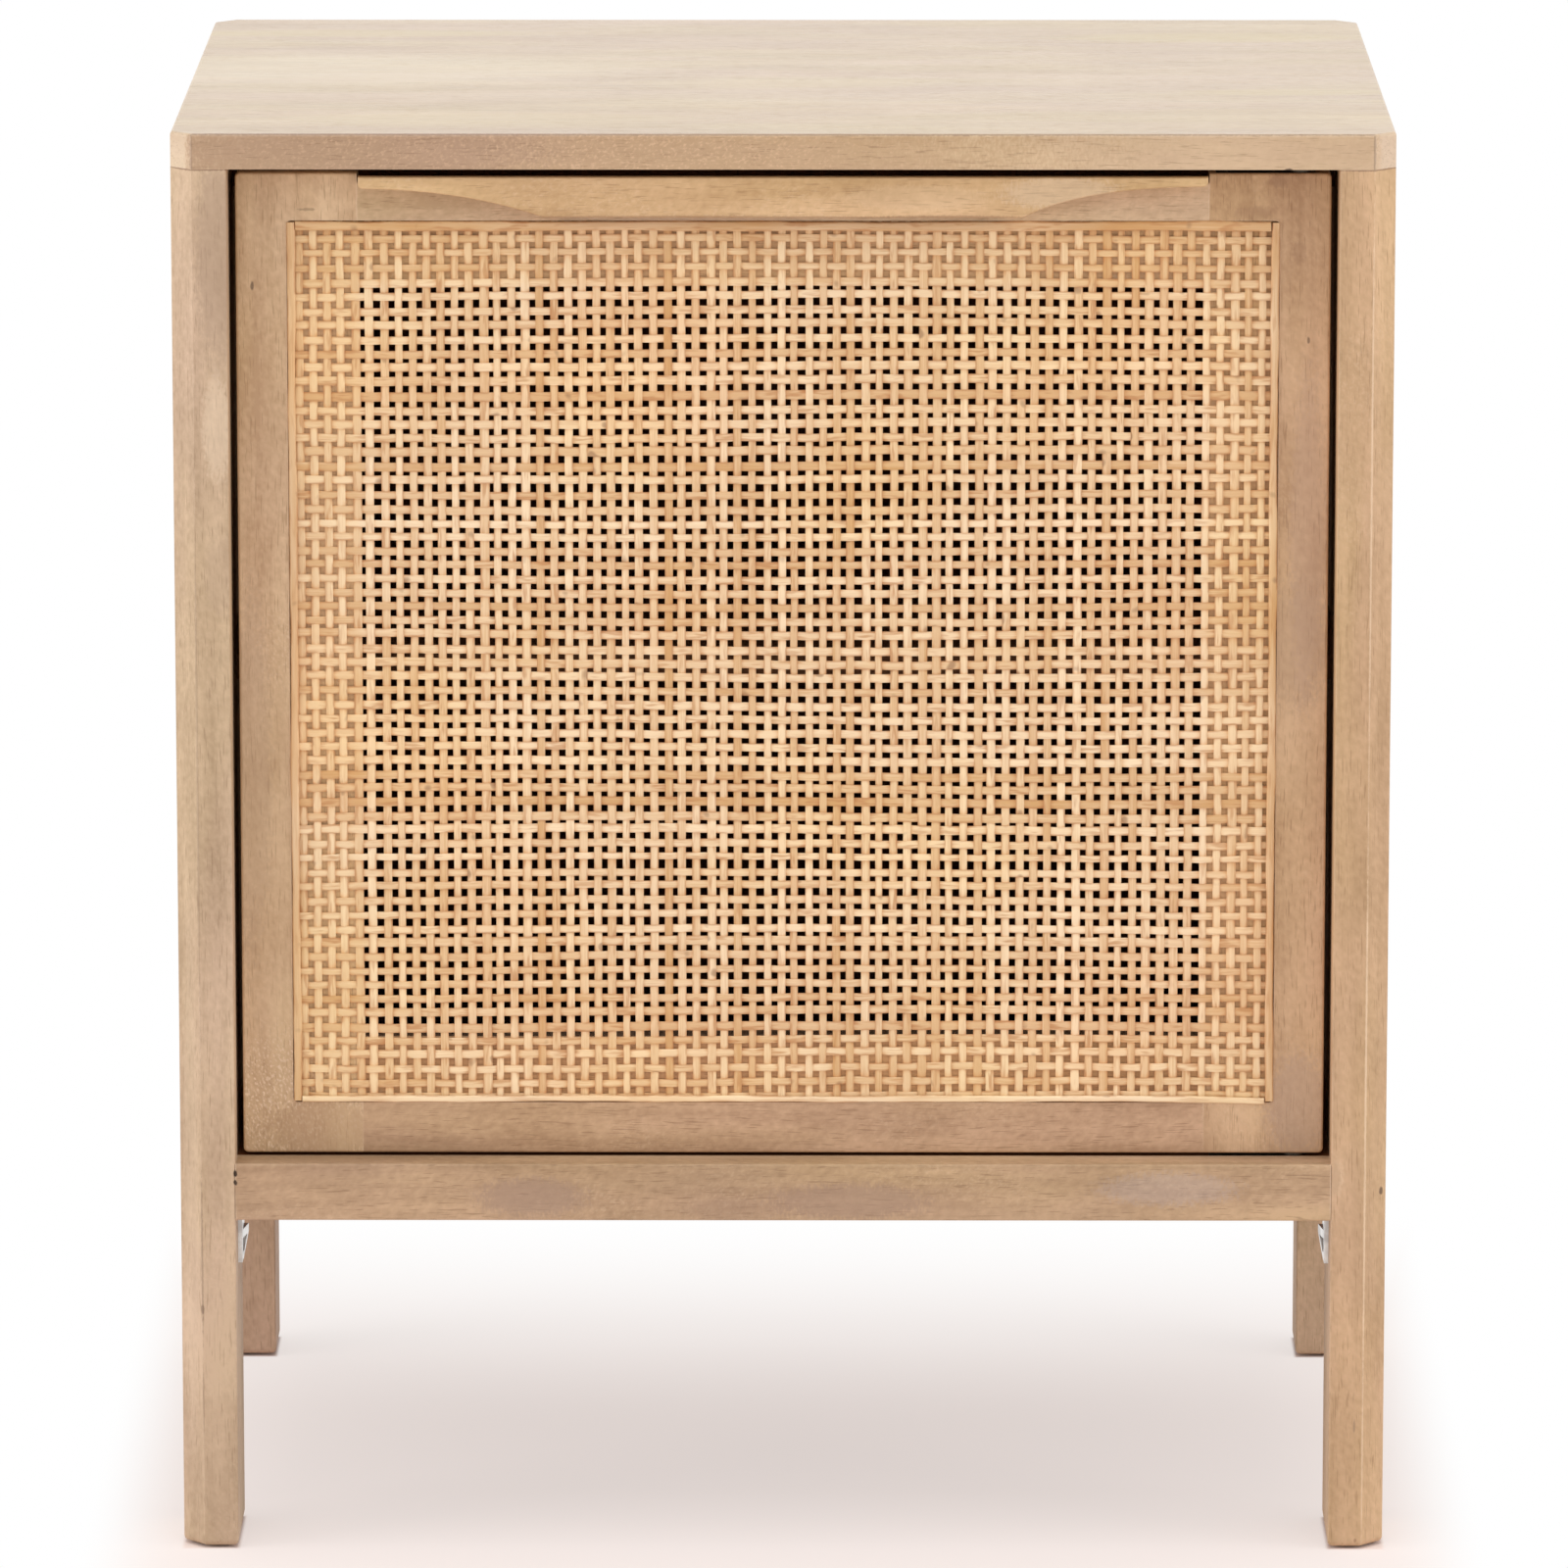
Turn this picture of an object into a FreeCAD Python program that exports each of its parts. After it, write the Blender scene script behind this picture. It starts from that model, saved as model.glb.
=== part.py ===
import FreeCAD, Part
import os

from FreeCAD import Vector

# A low storage table with one inset door, in millimetres. The front faces -Y, so +X is right and +Z is up
# for someone facing the door. The origin is on the floor under the middle of the case.

# Overall size.
WIDTH = 552.0
DEPTH = 406.0
HEIGHT = 656.0

# Top and legs, and the facet down all four corners.
TOP_THICKNESS = 16.0
TOP_ARRIS = 1.6
CORNER_FACET = 10.0
LEG_WIDTH = 25.5
FRONT_LEG_DEPTH = 58.0
REAR_LEG_DEPTH = 40.0
LEG_ARRIS = 0.8
FOOT_ARRIS = 3.0

# Glides tacked into the feet.
GLIDE_PROUD = 1.0
GLIDE_SUNK = 2.0
GLIDE_RADIUS = 8.0
GLIDE_ARRIS = 0.4
GLIDE_STEM_RADIUS = 1.4
GLIDE_STEM_LENGTH = 10.0

# Case: rails, side panels, bottom, back, shelf and cleats.
CASE_BOTTOM = 155.0
RAIL_HEIGHT = 26.5
RAIL_ARRIS = 1.0
FRONT_RAIL_THICKNESS = 18.0
REAR_RAIL_THICKNESS = 14.0
REAR_TOP_RAIL_HEIGHT = 16.0
SIDE_THICKNESS = 19.0
SIDE_SETBACK = 1.5
TONGUE_THICKNESS = 6.0
TONGUE_LENGTH = 8.0
TONGUE_END_GAP = 0.5
BOTTOM_THICKNESS = 16.0
BACK_THICKNESS = 5.0
BACK_SETBACK = 0.5
BACK_REBATE = 10.0
BACK_EDGE_GAP = 0.3
SHELF_THICKNESS = 12.0
SHELF_UNDERSIDE = 395.0
SHELF_EDGE_GAP = 1.0
SHELF_FRONT_SETBACK = 6.0
SHELF_ARRIS = 1.0
CLEAT_WIDTH = 16.0
BOTTOM_CLEAT_HEIGHT = 10.0
TOP_CLEAT_HEIGHT = 16.0
CLEAT_END_GAP = 1.0

# Shelf pins, and the rows of holes that let the shelf be moved.
PIN_RADIUS = 2.5
PIN_REACH = 8.0
PIN_IN_SIDE = 8.0
PIN_HOLE_DEPTH = 9.0
PIN_ROW_INSET = 35.0
PIN_ROW_PITCH = 32.0
PIN_ROW_STEPS = (-1, 0, 1)

# Dowels.
DOWEL_RADIUS = 4.0
DOWEL_END_GAP = 1.0
RAIL_DOWEL_REACH = 15.0
RAIL_DOWEL_INSET = 6.5
LEG_DOWEL_IN_TOP = 10.0
LEG_DOWEL_IN_LEG = 22.0
LEG_DOWEL_WALL = 8.0

# Door, set back from the front of the case and clear of its opening all round.
DOOR_RECESS = 17.0
DOOR_THICKNESS = 20.0
DOOR_SIDE_GAP = 3.1
DOOR_TOP_GAP = 4.0
DOOR_BOTTOM_GAP = 1.5
STILE_WIDTH = 55.0
TOP_RAIL_HEIGHT = 46.5
TOP_RAIL_DROP = 4.0
BOTTOM_RAIL_HEIGHT = 54.0
SIDE_BORDER = 23.05
TOP_BORDER = 21.6
BOTTOM_BORDER = 23.7
DOOR_ARRIS = 1.2
DOOR_CORNER_RADIUS = 2.2
TENON_THICKNESS = 7.0
TENON_LENGTH = 22.0
TENON_OUTER_SHOULDER = 16.0
TENON_INNER_SHOULDER = 5.0

# Cane panel in its recess, and the bead round it.
CANE_RECESS = 3.0
CANE_RECESS_CORNER = 2.2
CANE_THICKNESS = 1.9
CANE_EDGE_GAP = 0.3
SIDE_BEAD_WIDTH = 4.0
TOP_BEAD_WIDTH = 4.8
BOTTOM_BEAD_WIDTH = 3.2
BEAD_THICKNESS = 2.0
BEAD_ARRIS = 0.7
BEAD_END_GAP = 0.8

# Pull: a carved strip along the top rail, hollowed underneath for the fingers.
PULL_END_GAP = 1.0
PULL_PROJECTION = 14.0
PULL_HEIGHT = 18.2
PULL_TIP_RADIUS = 2.4
PULL_STRAIGHT = 216.0
PULL_CREST = 5.0
PULL_ARRIS = 0.8
# It is carved by hand, so its left (-1) and right (1) sweeps differ.
PULL_TIP_HEIGHTS = {-1: 5.4, 1: 4.2}
PULL_SWEEP_BENDS = {-1: 36.7, 1: 27.0}
GROOVE_LENGTH = 200.0
GROOVE_DEPTH = 8.0
GROOVE_ROOF = 5.0
GROOVE_RADIUS = 2.5

# Knife hinges let into the top and bottom of the right stile.
HINGE_EDGE_INSET = 13.0
HINGE_FACE_INSET = 8.0
LEAF_LENGTH = 45.0
LEAF_WIDTH = 12.0
LEAF_THICKNESS = 2.4
LEAF_CORNER = 2.0
LEAF_SCREWS = (16.0, 33.0)
PIVOT_RADIUS = 2.5
PIVOT_RUNNING_GAP = 0.05
SPACER_RADIUS = 5.5
SPACER_END_GAP = 0.1

# Magnetic catch under the top at the door's free corner, and its strike on the door.
CATCH_FROM_EDGE = 35.0
CATCH_LENGTH = 28.0
CATCH_DEPTH = 13.0
CATCH_HEIGHT = 18.0
CATCH_EAR_LENGTH = 9.0
CATCH_EAR_THICKNESS = 2.5
CATCH_ARRIS = 1.0
MAGNET_LENGTH = 22.0
MAGNET_HEIGHT = 7.0
MAGNET_DEPTH = 9.0
MAGNET_PROUD = 0.4
STRIKE_LENGTH = 26.0
STRIKE_HEIGHT = 9.0
STRIKE_THICKNESS = 1.2
STRIKE_GAP = 0.4

# Steel corner brackets between the legs and the bottom panel. Each ends in a slotted tab, bent off the leg.
BRACKET_WIDTH = 20.0
BRACKET_THICKNESS = 2.0
BRACKET_FOOT = 28.0
BRACKET_DROP = 34.9
BRACKET_FROM_RAIL = 1.0
BRACKET_SCREW_INSET = 10.0
TAB_HEIGHT = 14.0
TAB_FLAT_WIDTH = 7.0
TAB_STAND_OFF = 2.0
TAB_TIP_WIDTH = 8.0
TAB_TAPER_HEIGHT = 10.4
TAB_RIM = 2.8
TAB_SLOT_FROM_TIP = 3.6
TAB_SLOT_HEIGHT = 6.3

# Countersunk screws, each size as (shank radius, head radius, length), and where they go.
SMALL_SCREW = (1.5, 2.9, 14.0)
HINGE_SCREW = (1.6, 3.0, 12.0)
CLEAT_SCREW = (1.9, 3.7, 24.0)
SCREW_SUNK = 0.1
SCREW_POINT = 2.5
CROSS_WIDTH = 0.8
CROSS_REACH_OF_HEAD = 0.6
CROSS_DEPTH_OF_SHANK = 0.8
CLEAT_UP_INSET = 25.0
CLEAT_SIDE_INSET = 55.0
BACK_RAIL_SCREWS = 4
BACK_LEG_SCREWS = 3
BACK_SCREW_INSET = 45.0

# Play in every glued or screwed fit, and how far a cutter starts outside what it cuts.
FIT = 0.1
OVERCUT = 1.0

# Planes and edges that several pieces share.
FRONT = -DEPTH / 2
BACK = DEPTH / 2
HALF = WIDTH / 2
CASE_TOP = HEIGHT - TOP_THICKNESS
RAIL_TOP = CASE_BOTTOM + RAIL_HEIGHT
LEG_INNER = HALF - LEG_WIDTH
LEG_MIDDLE = HALF - LEG_WIDTH / 2
SIDE_OUTER = HALF - SIDE_SETBACK
SIDE_INNER = SIDE_OUTER - SIDE_THICKNESS
FRONT_LEG_BACK = FRONT + FRONT_LEG_DEPTH
REAR_LEG_FRONT = BACK - REAR_LEG_DEPTH
FRONT_RAIL_BACK = FRONT + FRONT_RAIL_THICKNESS
BACK_SEAT = BACK - BACK_SETBACK - BACK_THICKNESS
REAR_RAIL_FRONT = BACK_SEAT - REAR_RAIL_THICKNESS
BOTTOM_UNDERSIDE = RAIL_TOP - BOTTOM_THICKNESS
FRONT_BRACKET = FRONT_RAIL_BACK + BRACKET_FROM_RAIL
REAR_BRACKET = REAR_RAIL_FRONT - BRACKET_FROM_RAIL - BRACKET_WIDTH
CLEAT_FRONT = FRONT_LEG_BACK + CLEAT_END_GAP
CLEAT_BACK = min(REAR_LEG_FRONT, REAR_BRACKET) - CLEAT_END_GAP
DOOR_FACE = FRONT + DOOR_RECESS
DOOR_BACK = DOOR_FACE + DOOR_THICKNESS
DOOR_EDGE = LEG_INNER - DOOR_SIDE_GAP
DOOR_TOP = CASE_TOP - DOOR_TOP_GAP
DOOR_BOTTOM = RAIL_TOP + DOOR_BOTTOM_GAP
DOOR_RAIL_TOP = DOOR_TOP - TOP_RAIL_DROP
WINDOW_EDGE = DOOR_EDGE - STILE_WIDTH
WINDOW_TOP = DOOR_RAIL_TOP - TOP_RAIL_HEIGHT
WINDOW_BOTTOM = DOOR_BOTTOM + BOTTOM_RAIL_HEIGHT
CANE_EDGE = DOOR_EDGE - SIDE_BORDER
CANE_TOP = DOOR_TOP - TOP_BORDER
CANE_BOTTOM = DOOR_BOTTOM + BOTTOM_BORDER
CANE_BACK = DOOR_FACE + CANE_RECESS
CANE_FRONT = CANE_BACK - CANE_THICKNESS
HINGE_X = DOOR_EDGE - HINGE_EDGE_INSET
HINGE_Y = DOOR_FACE + HINGE_FACE_INSET
CATCH_X = CATCH_FROM_EDGE - DOOR_EDGE
CATCH_Z = CASE_TOP - CATCH_HEIGHT / 2
CATCH_FRONT = DOOR_BACK + STRIKE_THICKNESS + STRIKE_GAP + MAGNET_PROUD

RIGHTWARD = Vector(1, 0, 0)
REARWARD = Vector(0, 1, 0)
UPWARD = Vector(0, 0, 1)
TOLERANCE = 0.001


# Shapes that many pieces are made from.


def block(x0, x1, y0, y1, z0, z1):
    """A box between two values on each axis."""
    return Part.makeBox(x1 - x0, y1 - y0, z1 - z0, Vector(x0, y0, z0))


def prism(points, direction):
    """The closed outline through the points, pushed along a direction."""
    return Part.Face(Part.makePolygon(points + [points[0]])).extrude(direction)


def rod(radius, start, direction, length):
    return Part.makeCylinder(radius, length, start, direction)


def fused(shapes):
    return shapes[0].multiFuse(shapes[1:]).removeSplitter()


def without(shape, cutters):
    for cutter in cutters:
        shape = shape.cut(cutter)
    return shape


def mirrored(shape):
    return shape.mirror(Vector(0, 0, 0), RIGHTWARD)


def both(shapes):
    """The shapes of the right half and their mirror images in the left half."""
    return shapes + [mirrored(shape) for shape in shapes]


def arrises(shape, x=None, y=None, z=None):
    """The edges of a shape whose ends all lie at the given values."""
    wanted = [(axis, value) for axis, value in enumerate((x, y, z)) if value is not None]
    found = []
    for edge in shape.Edges:
        ends = [vertex.Point for vertex in edge.Vertexes]
        if all(abs(end[axis] - value) < TOLERANCE for end in ends for axis, value in wanted):
            found.append(edge)
    return found


def save(name, shapes):
    """Write one piece, or a group of like pieces, to its own file."""
    whole = shapes[0] if len(shapes) == 1 else Part.makeCompound(shapes)
    whole.exportStep("parts/" + name + ".step")


def save_pair(name, shape):
    """Write a piece of the right-hand side, and its mirror image for the left-hand side."""
    save(name + "_right", [shape])
    save(name + "_left", [mirrored(shape)])


# Screws and dowels. A screw's place is (middle of its head, direction in, size). A dowel's place is
# (one end, direction, length). The same place makes the fastener and its hole.


def cross_recess(head, direction, reach, depth):
    """Two crossed slots sunk in a screw head that faces along an axis."""
    into = Vector(abs(direction.x), abs(direction.y), abs(direction.z))
    slots = []
    for along in (RIGHTWARD, REARWARD, UPWARD):
        if not into.isEqual(along, TOLERANCE):
            slim = CROSS_WIDTH / 2
            half = Vector(slim, slim, slim) + along * (reach - slim) + into * (depth - slim)
            slots.append(Part.makeBox(2 * half.x, 2 * half.y, 2 * half.z, head - half))
    return slots


def screw(place):
    head, direction, (shank, head_radius, length) = place
    start = head + direction * SCREW_SUNK
    cone = head_radius - shank
    neck = start + direction * cone
    point = start + direction * (length - SCREW_POINT)
    solid = fused([
        Part.makeCone(head_radius, shank, cone, start, direction),
        rod(shank, neck, direction, length - cone - SCREW_POINT),
        Part.makeCone(shank, 0, SCREW_POINT, point, direction),
    ])
    reach = head_radius * CROSS_REACH_OF_HEAD
    return without(solid, cross_recess(start, direction, reach, shank * CROSS_DEPTH_OF_SHANK))


def screw_hole(place):
    head, direction, (shank, head_radius, length) = place
    seat = head + direction * SCREW_SUNK
    cone = head_radius - shank
    return fused([
        rod(head_radius + FIT, head - direction * OVERCUT, direction, OVERCUT + SCREW_SUNK),
        Part.makeCone(head_radius + FIT, shank + FIT, cone, seat, direction),
        rod(shank + FIT, seat + direction * cone, direction, length - cone + FIT),
    ])


def screws(places):
    return [screw(place) for place in places]


def screw_holes(places):
    return [screw_hole(place) for place in places]


def dowel(place):
    start, direction, length = place
    return rod(DOWEL_RADIUS - FIT / 2, start, direction, length)


def dowel_hole(place):
    start, direction, length = place
    return rod(DOWEL_RADIUS, start - direction * DOWEL_END_GAP, direction, length + 2 * DOWEL_END_GAP)


# Where the fasteners of the right half go.


def spread(first, last, count):
    """Evenly spaced values from first to last."""
    return [first + (last - first) * i / (count - 1) for i in range(count)]


def rail_dowel_places(rail_middle):
    start = LEG_INNER - RAIL_DOWEL_REACH
    heights = (CASE_BOTTOM + RAIL_DOWEL_INSET, RAIL_TOP - RAIL_DOWEL_INSET)
    return [(Vector(start, rail_middle, z), RIGHTWARD, 2 * RAIL_DOWEL_REACH) for z in heights]


def leg_dowel_places(depths):
    low = CASE_TOP - LEG_DOWEL_IN_LEG
    length = LEG_DOWEL_IN_LEG + LEG_DOWEL_IN_TOP
    return [(Vector(LEG_MIDDLE, y, low), UPWARD, length) for y in depths]


def cleat_screw_places(cleat_bottom, cleat_top):
    """Screws up through a cleat into the panel above it, and sideways into the side panel."""
    middle = SIDE_INNER - CLEAT_WIDTH / 2
    face = SIDE_INNER - CLEAT_WIDTH
    height = (cleat_bottom + cleat_top) / 2
    places = []
    for y in (CLEAT_FRONT + CLEAT_UP_INSET, CLEAT_BACK - CLEAT_UP_INSET):
        places.append((Vector(middle, y, cleat_bottom), UPWARD, CLEAT_SCREW))
    for y in (CLEAT_FRONT + CLEAT_SIDE_INSET, CLEAT_BACK - CLEAT_SIDE_INSET):
        places.append((Vector(face, y, height), RIGHTWARD, CLEAT_SCREW))
    return places


def bracket_screw_places(bracket_front):
    middle = bracket_front + BRACKET_WIDTH / 2
    in_leg = Vector(LEG_INNER - BRACKET_THICKNESS, middle, BOTTOM_UNDERSIDE - BRACKET_SCREW_INSET)
    under = BOTTOM_UNDERSIDE - BRACKET_THICKNESS
    in_bottom = Vector(LEG_INNER - BRACKET_FOOT + BRACKET_SCREW_INSET, middle, under)
    return [(in_leg, RIGHTWARD, SMALL_SCREW), (in_bottom, UPWARD, SMALL_SCREW)]


def back_rail_screw_row():
    """How far to the right each of a rear rail's screws lies."""
    reach = LEG_INNER - BACK_SCREW_INSET
    return spread(-reach, reach, BACK_RAIL_SCREWS)


def top_rail_screw_places():
    """Screws up through the rear top rail, midway between the outer screws of the back panel."""
    middle = REAR_RAIL_FRONT + REAR_RAIL_THICKNESS / 2
    row = back_rail_screw_row()
    across = (row[-1] + row[-2]) / 2
    under = CASE_TOP - REAR_TOP_RAIL_HEIGHT
    return [(Vector(x, middle, under), UPWARD, CLEAT_SCREW) for x in (-across, across)]


def back_screw_places():
    """Screws round the back panel: rows along both rails, and one down each leg."""
    face = BACK - BACK_SETBACK
    heads = []
    for z in (CASE_BOTTOM + RAIL_HEIGHT / 2, CASE_TOP - REAR_TOP_RAIL_HEIGHT / 2):
        heads += [Vector(x, face, z) for x in back_rail_screw_row()]
    beside = LEG_INNER + BACK_REBATE / 2
    low = RAIL_TOP + BACK_SCREW_INSET
    high = CASE_TOP - REAR_TOP_RAIL_HEIGHT - BACK_SCREW_INSET
    for x in (-beside, beside):
        heads += [Vector(x, face, z) for z in spread(low, high, BACK_LEG_SCREWS)]
    return [(head, -REARWARD, SMALL_SCREW) for head in heads]


def leaf_screw_places(height, direction):
    return [(Vector(HINGE_X - inset, HINGE_Y, height), direction, HINGE_SCREW) for inset in LEAF_SCREWS]


def catch_screw_places():
    """A screw up through each ear of the catch."""
    middle = CATCH_FRONT + CATCH_DEPTH / 2
    under = CASE_TOP - CATCH_EAR_THICKNESS
    reach = (CATCH_LENGTH + CATCH_EAR_LENGTH) / 2
    return [(Vector(x, middle, under), UPWARD, SMALL_SCREW) for x in (CATCH_X - reach, CATCH_X + reach)]


FRONT_RAIL_DOWELS = rail_dowel_places(FRONT + FRONT_RAIL_THICKNESS / 2)
REAR_RAIL_DOWELS = rail_dowel_places(REAR_RAIL_FRONT + REAR_RAIL_THICKNESS / 2)
FRONT_LEG_DOWELS = leg_dowel_places((
    FRONT + CORNER_FACET + LEG_DOWEL_WALL,
    FRONT_LEG_BACK - TONGUE_LENGTH - TONGUE_END_GAP - LEG_DOWEL_WALL,
))
REAR_LEG_DOWELS = leg_dowel_places(((REAR_LEG_FRONT + TONGUE_LENGTH + TONGUE_END_GAP + BACK_SEAT) / 2,))
BOTTOM_CLEAT_SCREWS = cleat_screw_places(BOTTOM_UNDERSIDE - BOTTOM_CLEAT_HEIGHT, BOTTOM_UNDERSIDE)
TOP_CLEAT_SCREWS = cleat_screw_places(CASE_TOP - TOP_CLEAT_HEIGHT, CASE_TOP)
TOP_RAIL_SCREWS = top_rail_screw_places()
FRONT_BRACKET_SCREWS = bracket_screw_places(FRONT_BRACKET)
REAR_BRACKET_SCREWS = bracket_screw_places(REAR_BRACKET)
BACK_SCREWS = back_screw_places()
TOP_CASE_LEAF_SCREWS = leaf_screw_places(CASE_TOP, UPWARD)
TOP_DOOR_LEAF_SCREWS = leaf_screw_places(DOOR_TOP, -UPWARD)
BOTTOM_DOOR_LEAF_SCREWS = leaf_screw_places(DOOR_BOTTOM, UPWARD)
BOTTOM_CASE_LEAF_SCREWS = leaf_screw_places(RAIL_TOP, -UPWARD)
CATCH_SCREWS = catch_screw_places()
STRIKE_SCREWS = [(Vector(CATCH_X, DOOR_BACK + STRIKE_THICKNESS, CATCH_Z), -REARWARD, SMALL_SCREW)]


# Knife hinges: a leaf let flush into the case and one into the door, a pin through both, and a spacer.


def leaf(low, pivot_gap, screw_places):
    """A straight leaf with a round end at the pivot, standing on the height low."""
    pivot = Vector(HINGE_X, HINGE_Y, low)
    half = LEAF_WIDTH / 2
    far = HINGE_X + half - LEAF_LENGTH
    strap = block(far, HINGE_X, HINGE_Y - half, HINGE_Y + half, low, low + LEAF_THICKNESS)
    ends = arrises(strap, x=far, y=HINGE_Y - half) + arrises(strap, x=far, y=HINGE_Y + half)
    strap = strap.makeFillet(LEAF_CORNER, ends)
    plate = fused([strap, rod(half, pivot, UPWARD, LEAF_THICKNESS)])
    eye = rod(PIVOT_RADIUS + pivot_gap, pivot, UPWARD, LEAF_THICKNESS)
    return without(plate, [eye] + screw_holes(screw_places))


def leaf_seat(low):
    """The recess for a leaf."""
    half = LEAF_WIDTH / 2 + FIT
    far = HINGE_X + LEAF_WIDTH / 2 - LEAF_LENGTH - FIT
    strap = block(far, HINGE_X, HINGE_Y - half, HINGE_Y + half, low, low + LEAF_THICKNESS)
    return fused([strap, rod(half, Vector(HINGE_X, HINGE_Y, low), UPWARD, LEAF_THICKNESS)])


def leaf_slot(low):
    """The recess for a door leaf, open at the stile's edge so that the door slides on to its hinges."""
    half = LEAF_WIDTH / 2 + FIT
    outside = DOOR_EDGE + OVERCUT
    mouth = block(HINGE_X, outside, HINGE_Y - half, HINGE_Y + half, low, low + LEAF_THICKNESS)
    return fused([leaf_seat(low), mouth])


def hinge_pin(low, high):
    return rod(PIVOT_RADIUS, Vector(HINGE_X, HINGE_Y, low), UPWARD, high - low)


def hinge_spacer(low, high):
    start = Vector(HINGE_X, HINGE_Y, low)
    ring = rod(SPACER_RADIUS, start, UPWARD, high - low)
    return ring.cut(rod(PIVOT_RADIUS + PIVOT_RUNNING_GAP, start, UPWARD, high - low))


def save_hinges():
    tight = PIVOT_RUNNING_GAP / 2
    door_low = DOOR_TOP - LEAF_THICKNESS
    case_low = RAIL_TOP - LEAF_THICKNESS
    save("hinge_top_case_leaf", [leaf(CASE_TOP, tight, TOP_CASE_LEAF_SCREWS)])
    save("hinge_top_door_leaf", [leaf(door_low, PIVOT_RUNNING_GAP, TOP_DOOR_LEAF_SCREWS)])
    save("hinge_bottom_door_leaf", [leaf(DOOR_BOTTOM, PIVOT_RUNNING_GAP, BOTTOM_DOOR_LEAF_SCREWS)])
    save("hinge_bottom_case_leaf", [leaf(case_low, tight, BOTTOM_CASE_LEAF_SCREWS)])
    save("hinge_pins", [
        hinge_pin(door_low + SPACER_END_GAP, CASE_TOP + LEAF_THICKNESS),
        hinge_pin(case_low, DOOR_BOTTOM + LEAF_THICKNESS - SPACER_END_GAP),
    ])
    save("hinge_spacers", [
        hinge_spacer(DOOR_TOP + SPACER_END_GAP, CASE_TOP),
        hinge_spacer(RAIL_TOP, DOOR_BOTTOM - SPACER_END_GAP),
    ])
    save("hinge_case_screws", screws(TOP_CASE_LEAF_SCREWS + BOTTOM_CASE_LEAF_SCREWS))
    save("hinge_door_screws", screws(TOP_DOOR_LEAF_SCREWS + BOTTOM_DOOR_LEAF_SCREWS))


# Top, legs and glides.


def faceted_block(x0, x1, y0, y1, z0, z1, faceted):
    """A block with the corner facet down those of its upright corners that are in faceted."""
    ring = [(x0, y0), (x1, y0), (x1, y1), (x0, y1)]
    points = []
    for i, (x, y) in enumerate(ring):
        corner = Vector(x, y, z0)
        if (x, y) in faceted:
            for near in (ring[i - 1], ring[(i + 1) % 4]):
                points.append(corner + (Vector(near[0], near[1], z0) - corner).normalize() * CORNER_FACET)
        else:
            points.append(corner)
    return prism(points, Vector(0, 0, z1 - z0))


def top_panel():
    corners = [(x, y) for x in (-HALF, HALF) for y in (FRONT, BACK)]
    slab = faceted_block(-HALF, HALF, FRONT, BACK, CASE_TOP, HEIGHT, corners)
    slab = slab.makeFillet(TOP_ARRIS, arrises(slab, z=HEIGHT))
    dowels = both([dowel_hole(place) for place in FRONT_LEG_DOWELS + REAR_LEG_DOWELS])
    cleats = both(screw_holes(TOP_CLEAT_SCREWS))
    singles = screw_holes(TOP_RAIL_SCREWS + TOP_CASE_LEAF_SCREWS + CATCH_SCREWS)
    return without(slab, dowels + cleats + singles + [leaf_seat(CASE_TOP)])


def glide(middle):
    disc = rod(GLIDE_RADIUS, middle, UPWARD, GLIDE_PROUD + GLIDE_SUNK)
    disc = disc.makeChamfer(GLIDE_ARRIS, arrises(disc, z=0))
    top = middle + UPWARD * (GLIDE_PROUD + GLIDE_SUNK)
    return fused([disc, rod(GLIDE_STEM_RADIUS, top, UPWARD, GLIDE_STEM_LENGTH)])


def glide_hole(middle):
    disc = rod(GLIDE_RADIUS + FIT, middle, UPWARD, GLIDE_PROUD + GLIDE_SUNK)
    depth = GLIDE_PROUD + GLIDE_SUNK + GLIDE_STEM_LENGTH + FIT
    return fused([disc, rod(GLIDE_STEM_RADIUS + FIT / 2, middle, UPWARD, depth)])


def tongue(y0, y1, play):
    """A side panel's tongue, or with play the groove for it, between two depths."""
    middle = SIDE_OUTER - SIDE_THICKNESS / 2
    half = TONGUE_THICKNESS / 2 + play
    return block(middle - half, middle + half, y0, y1, CASE_BOTTOM - play, CASE_TOP)


def leg(y0, y1, faceted_y, cutters):
    """A right leg between two depths, with its outer corner cut to a facet and its foot eased."""
    post = faceted_block(LEG_INNER, HALF, y0, y1, GLIDE_PROUD, CASE_TOP, [(HALF, faceted_y)])
    post = post.makeFillet(LEG_ARRIS, arrises(post, x=LEG_INNER, y=y0) + arrises(post, x=LEG_INNER, y=y1))
    post = post.makeFillet(FOOT_ARRIS, arrises(post, z=GLIDE_PROUD))
    middle = Vector(LEG_MIDDLE, (y0 + y1) / 2, 0)
    return without(post, cutters + [glide_hole(middle)]), glide(middle)


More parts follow.
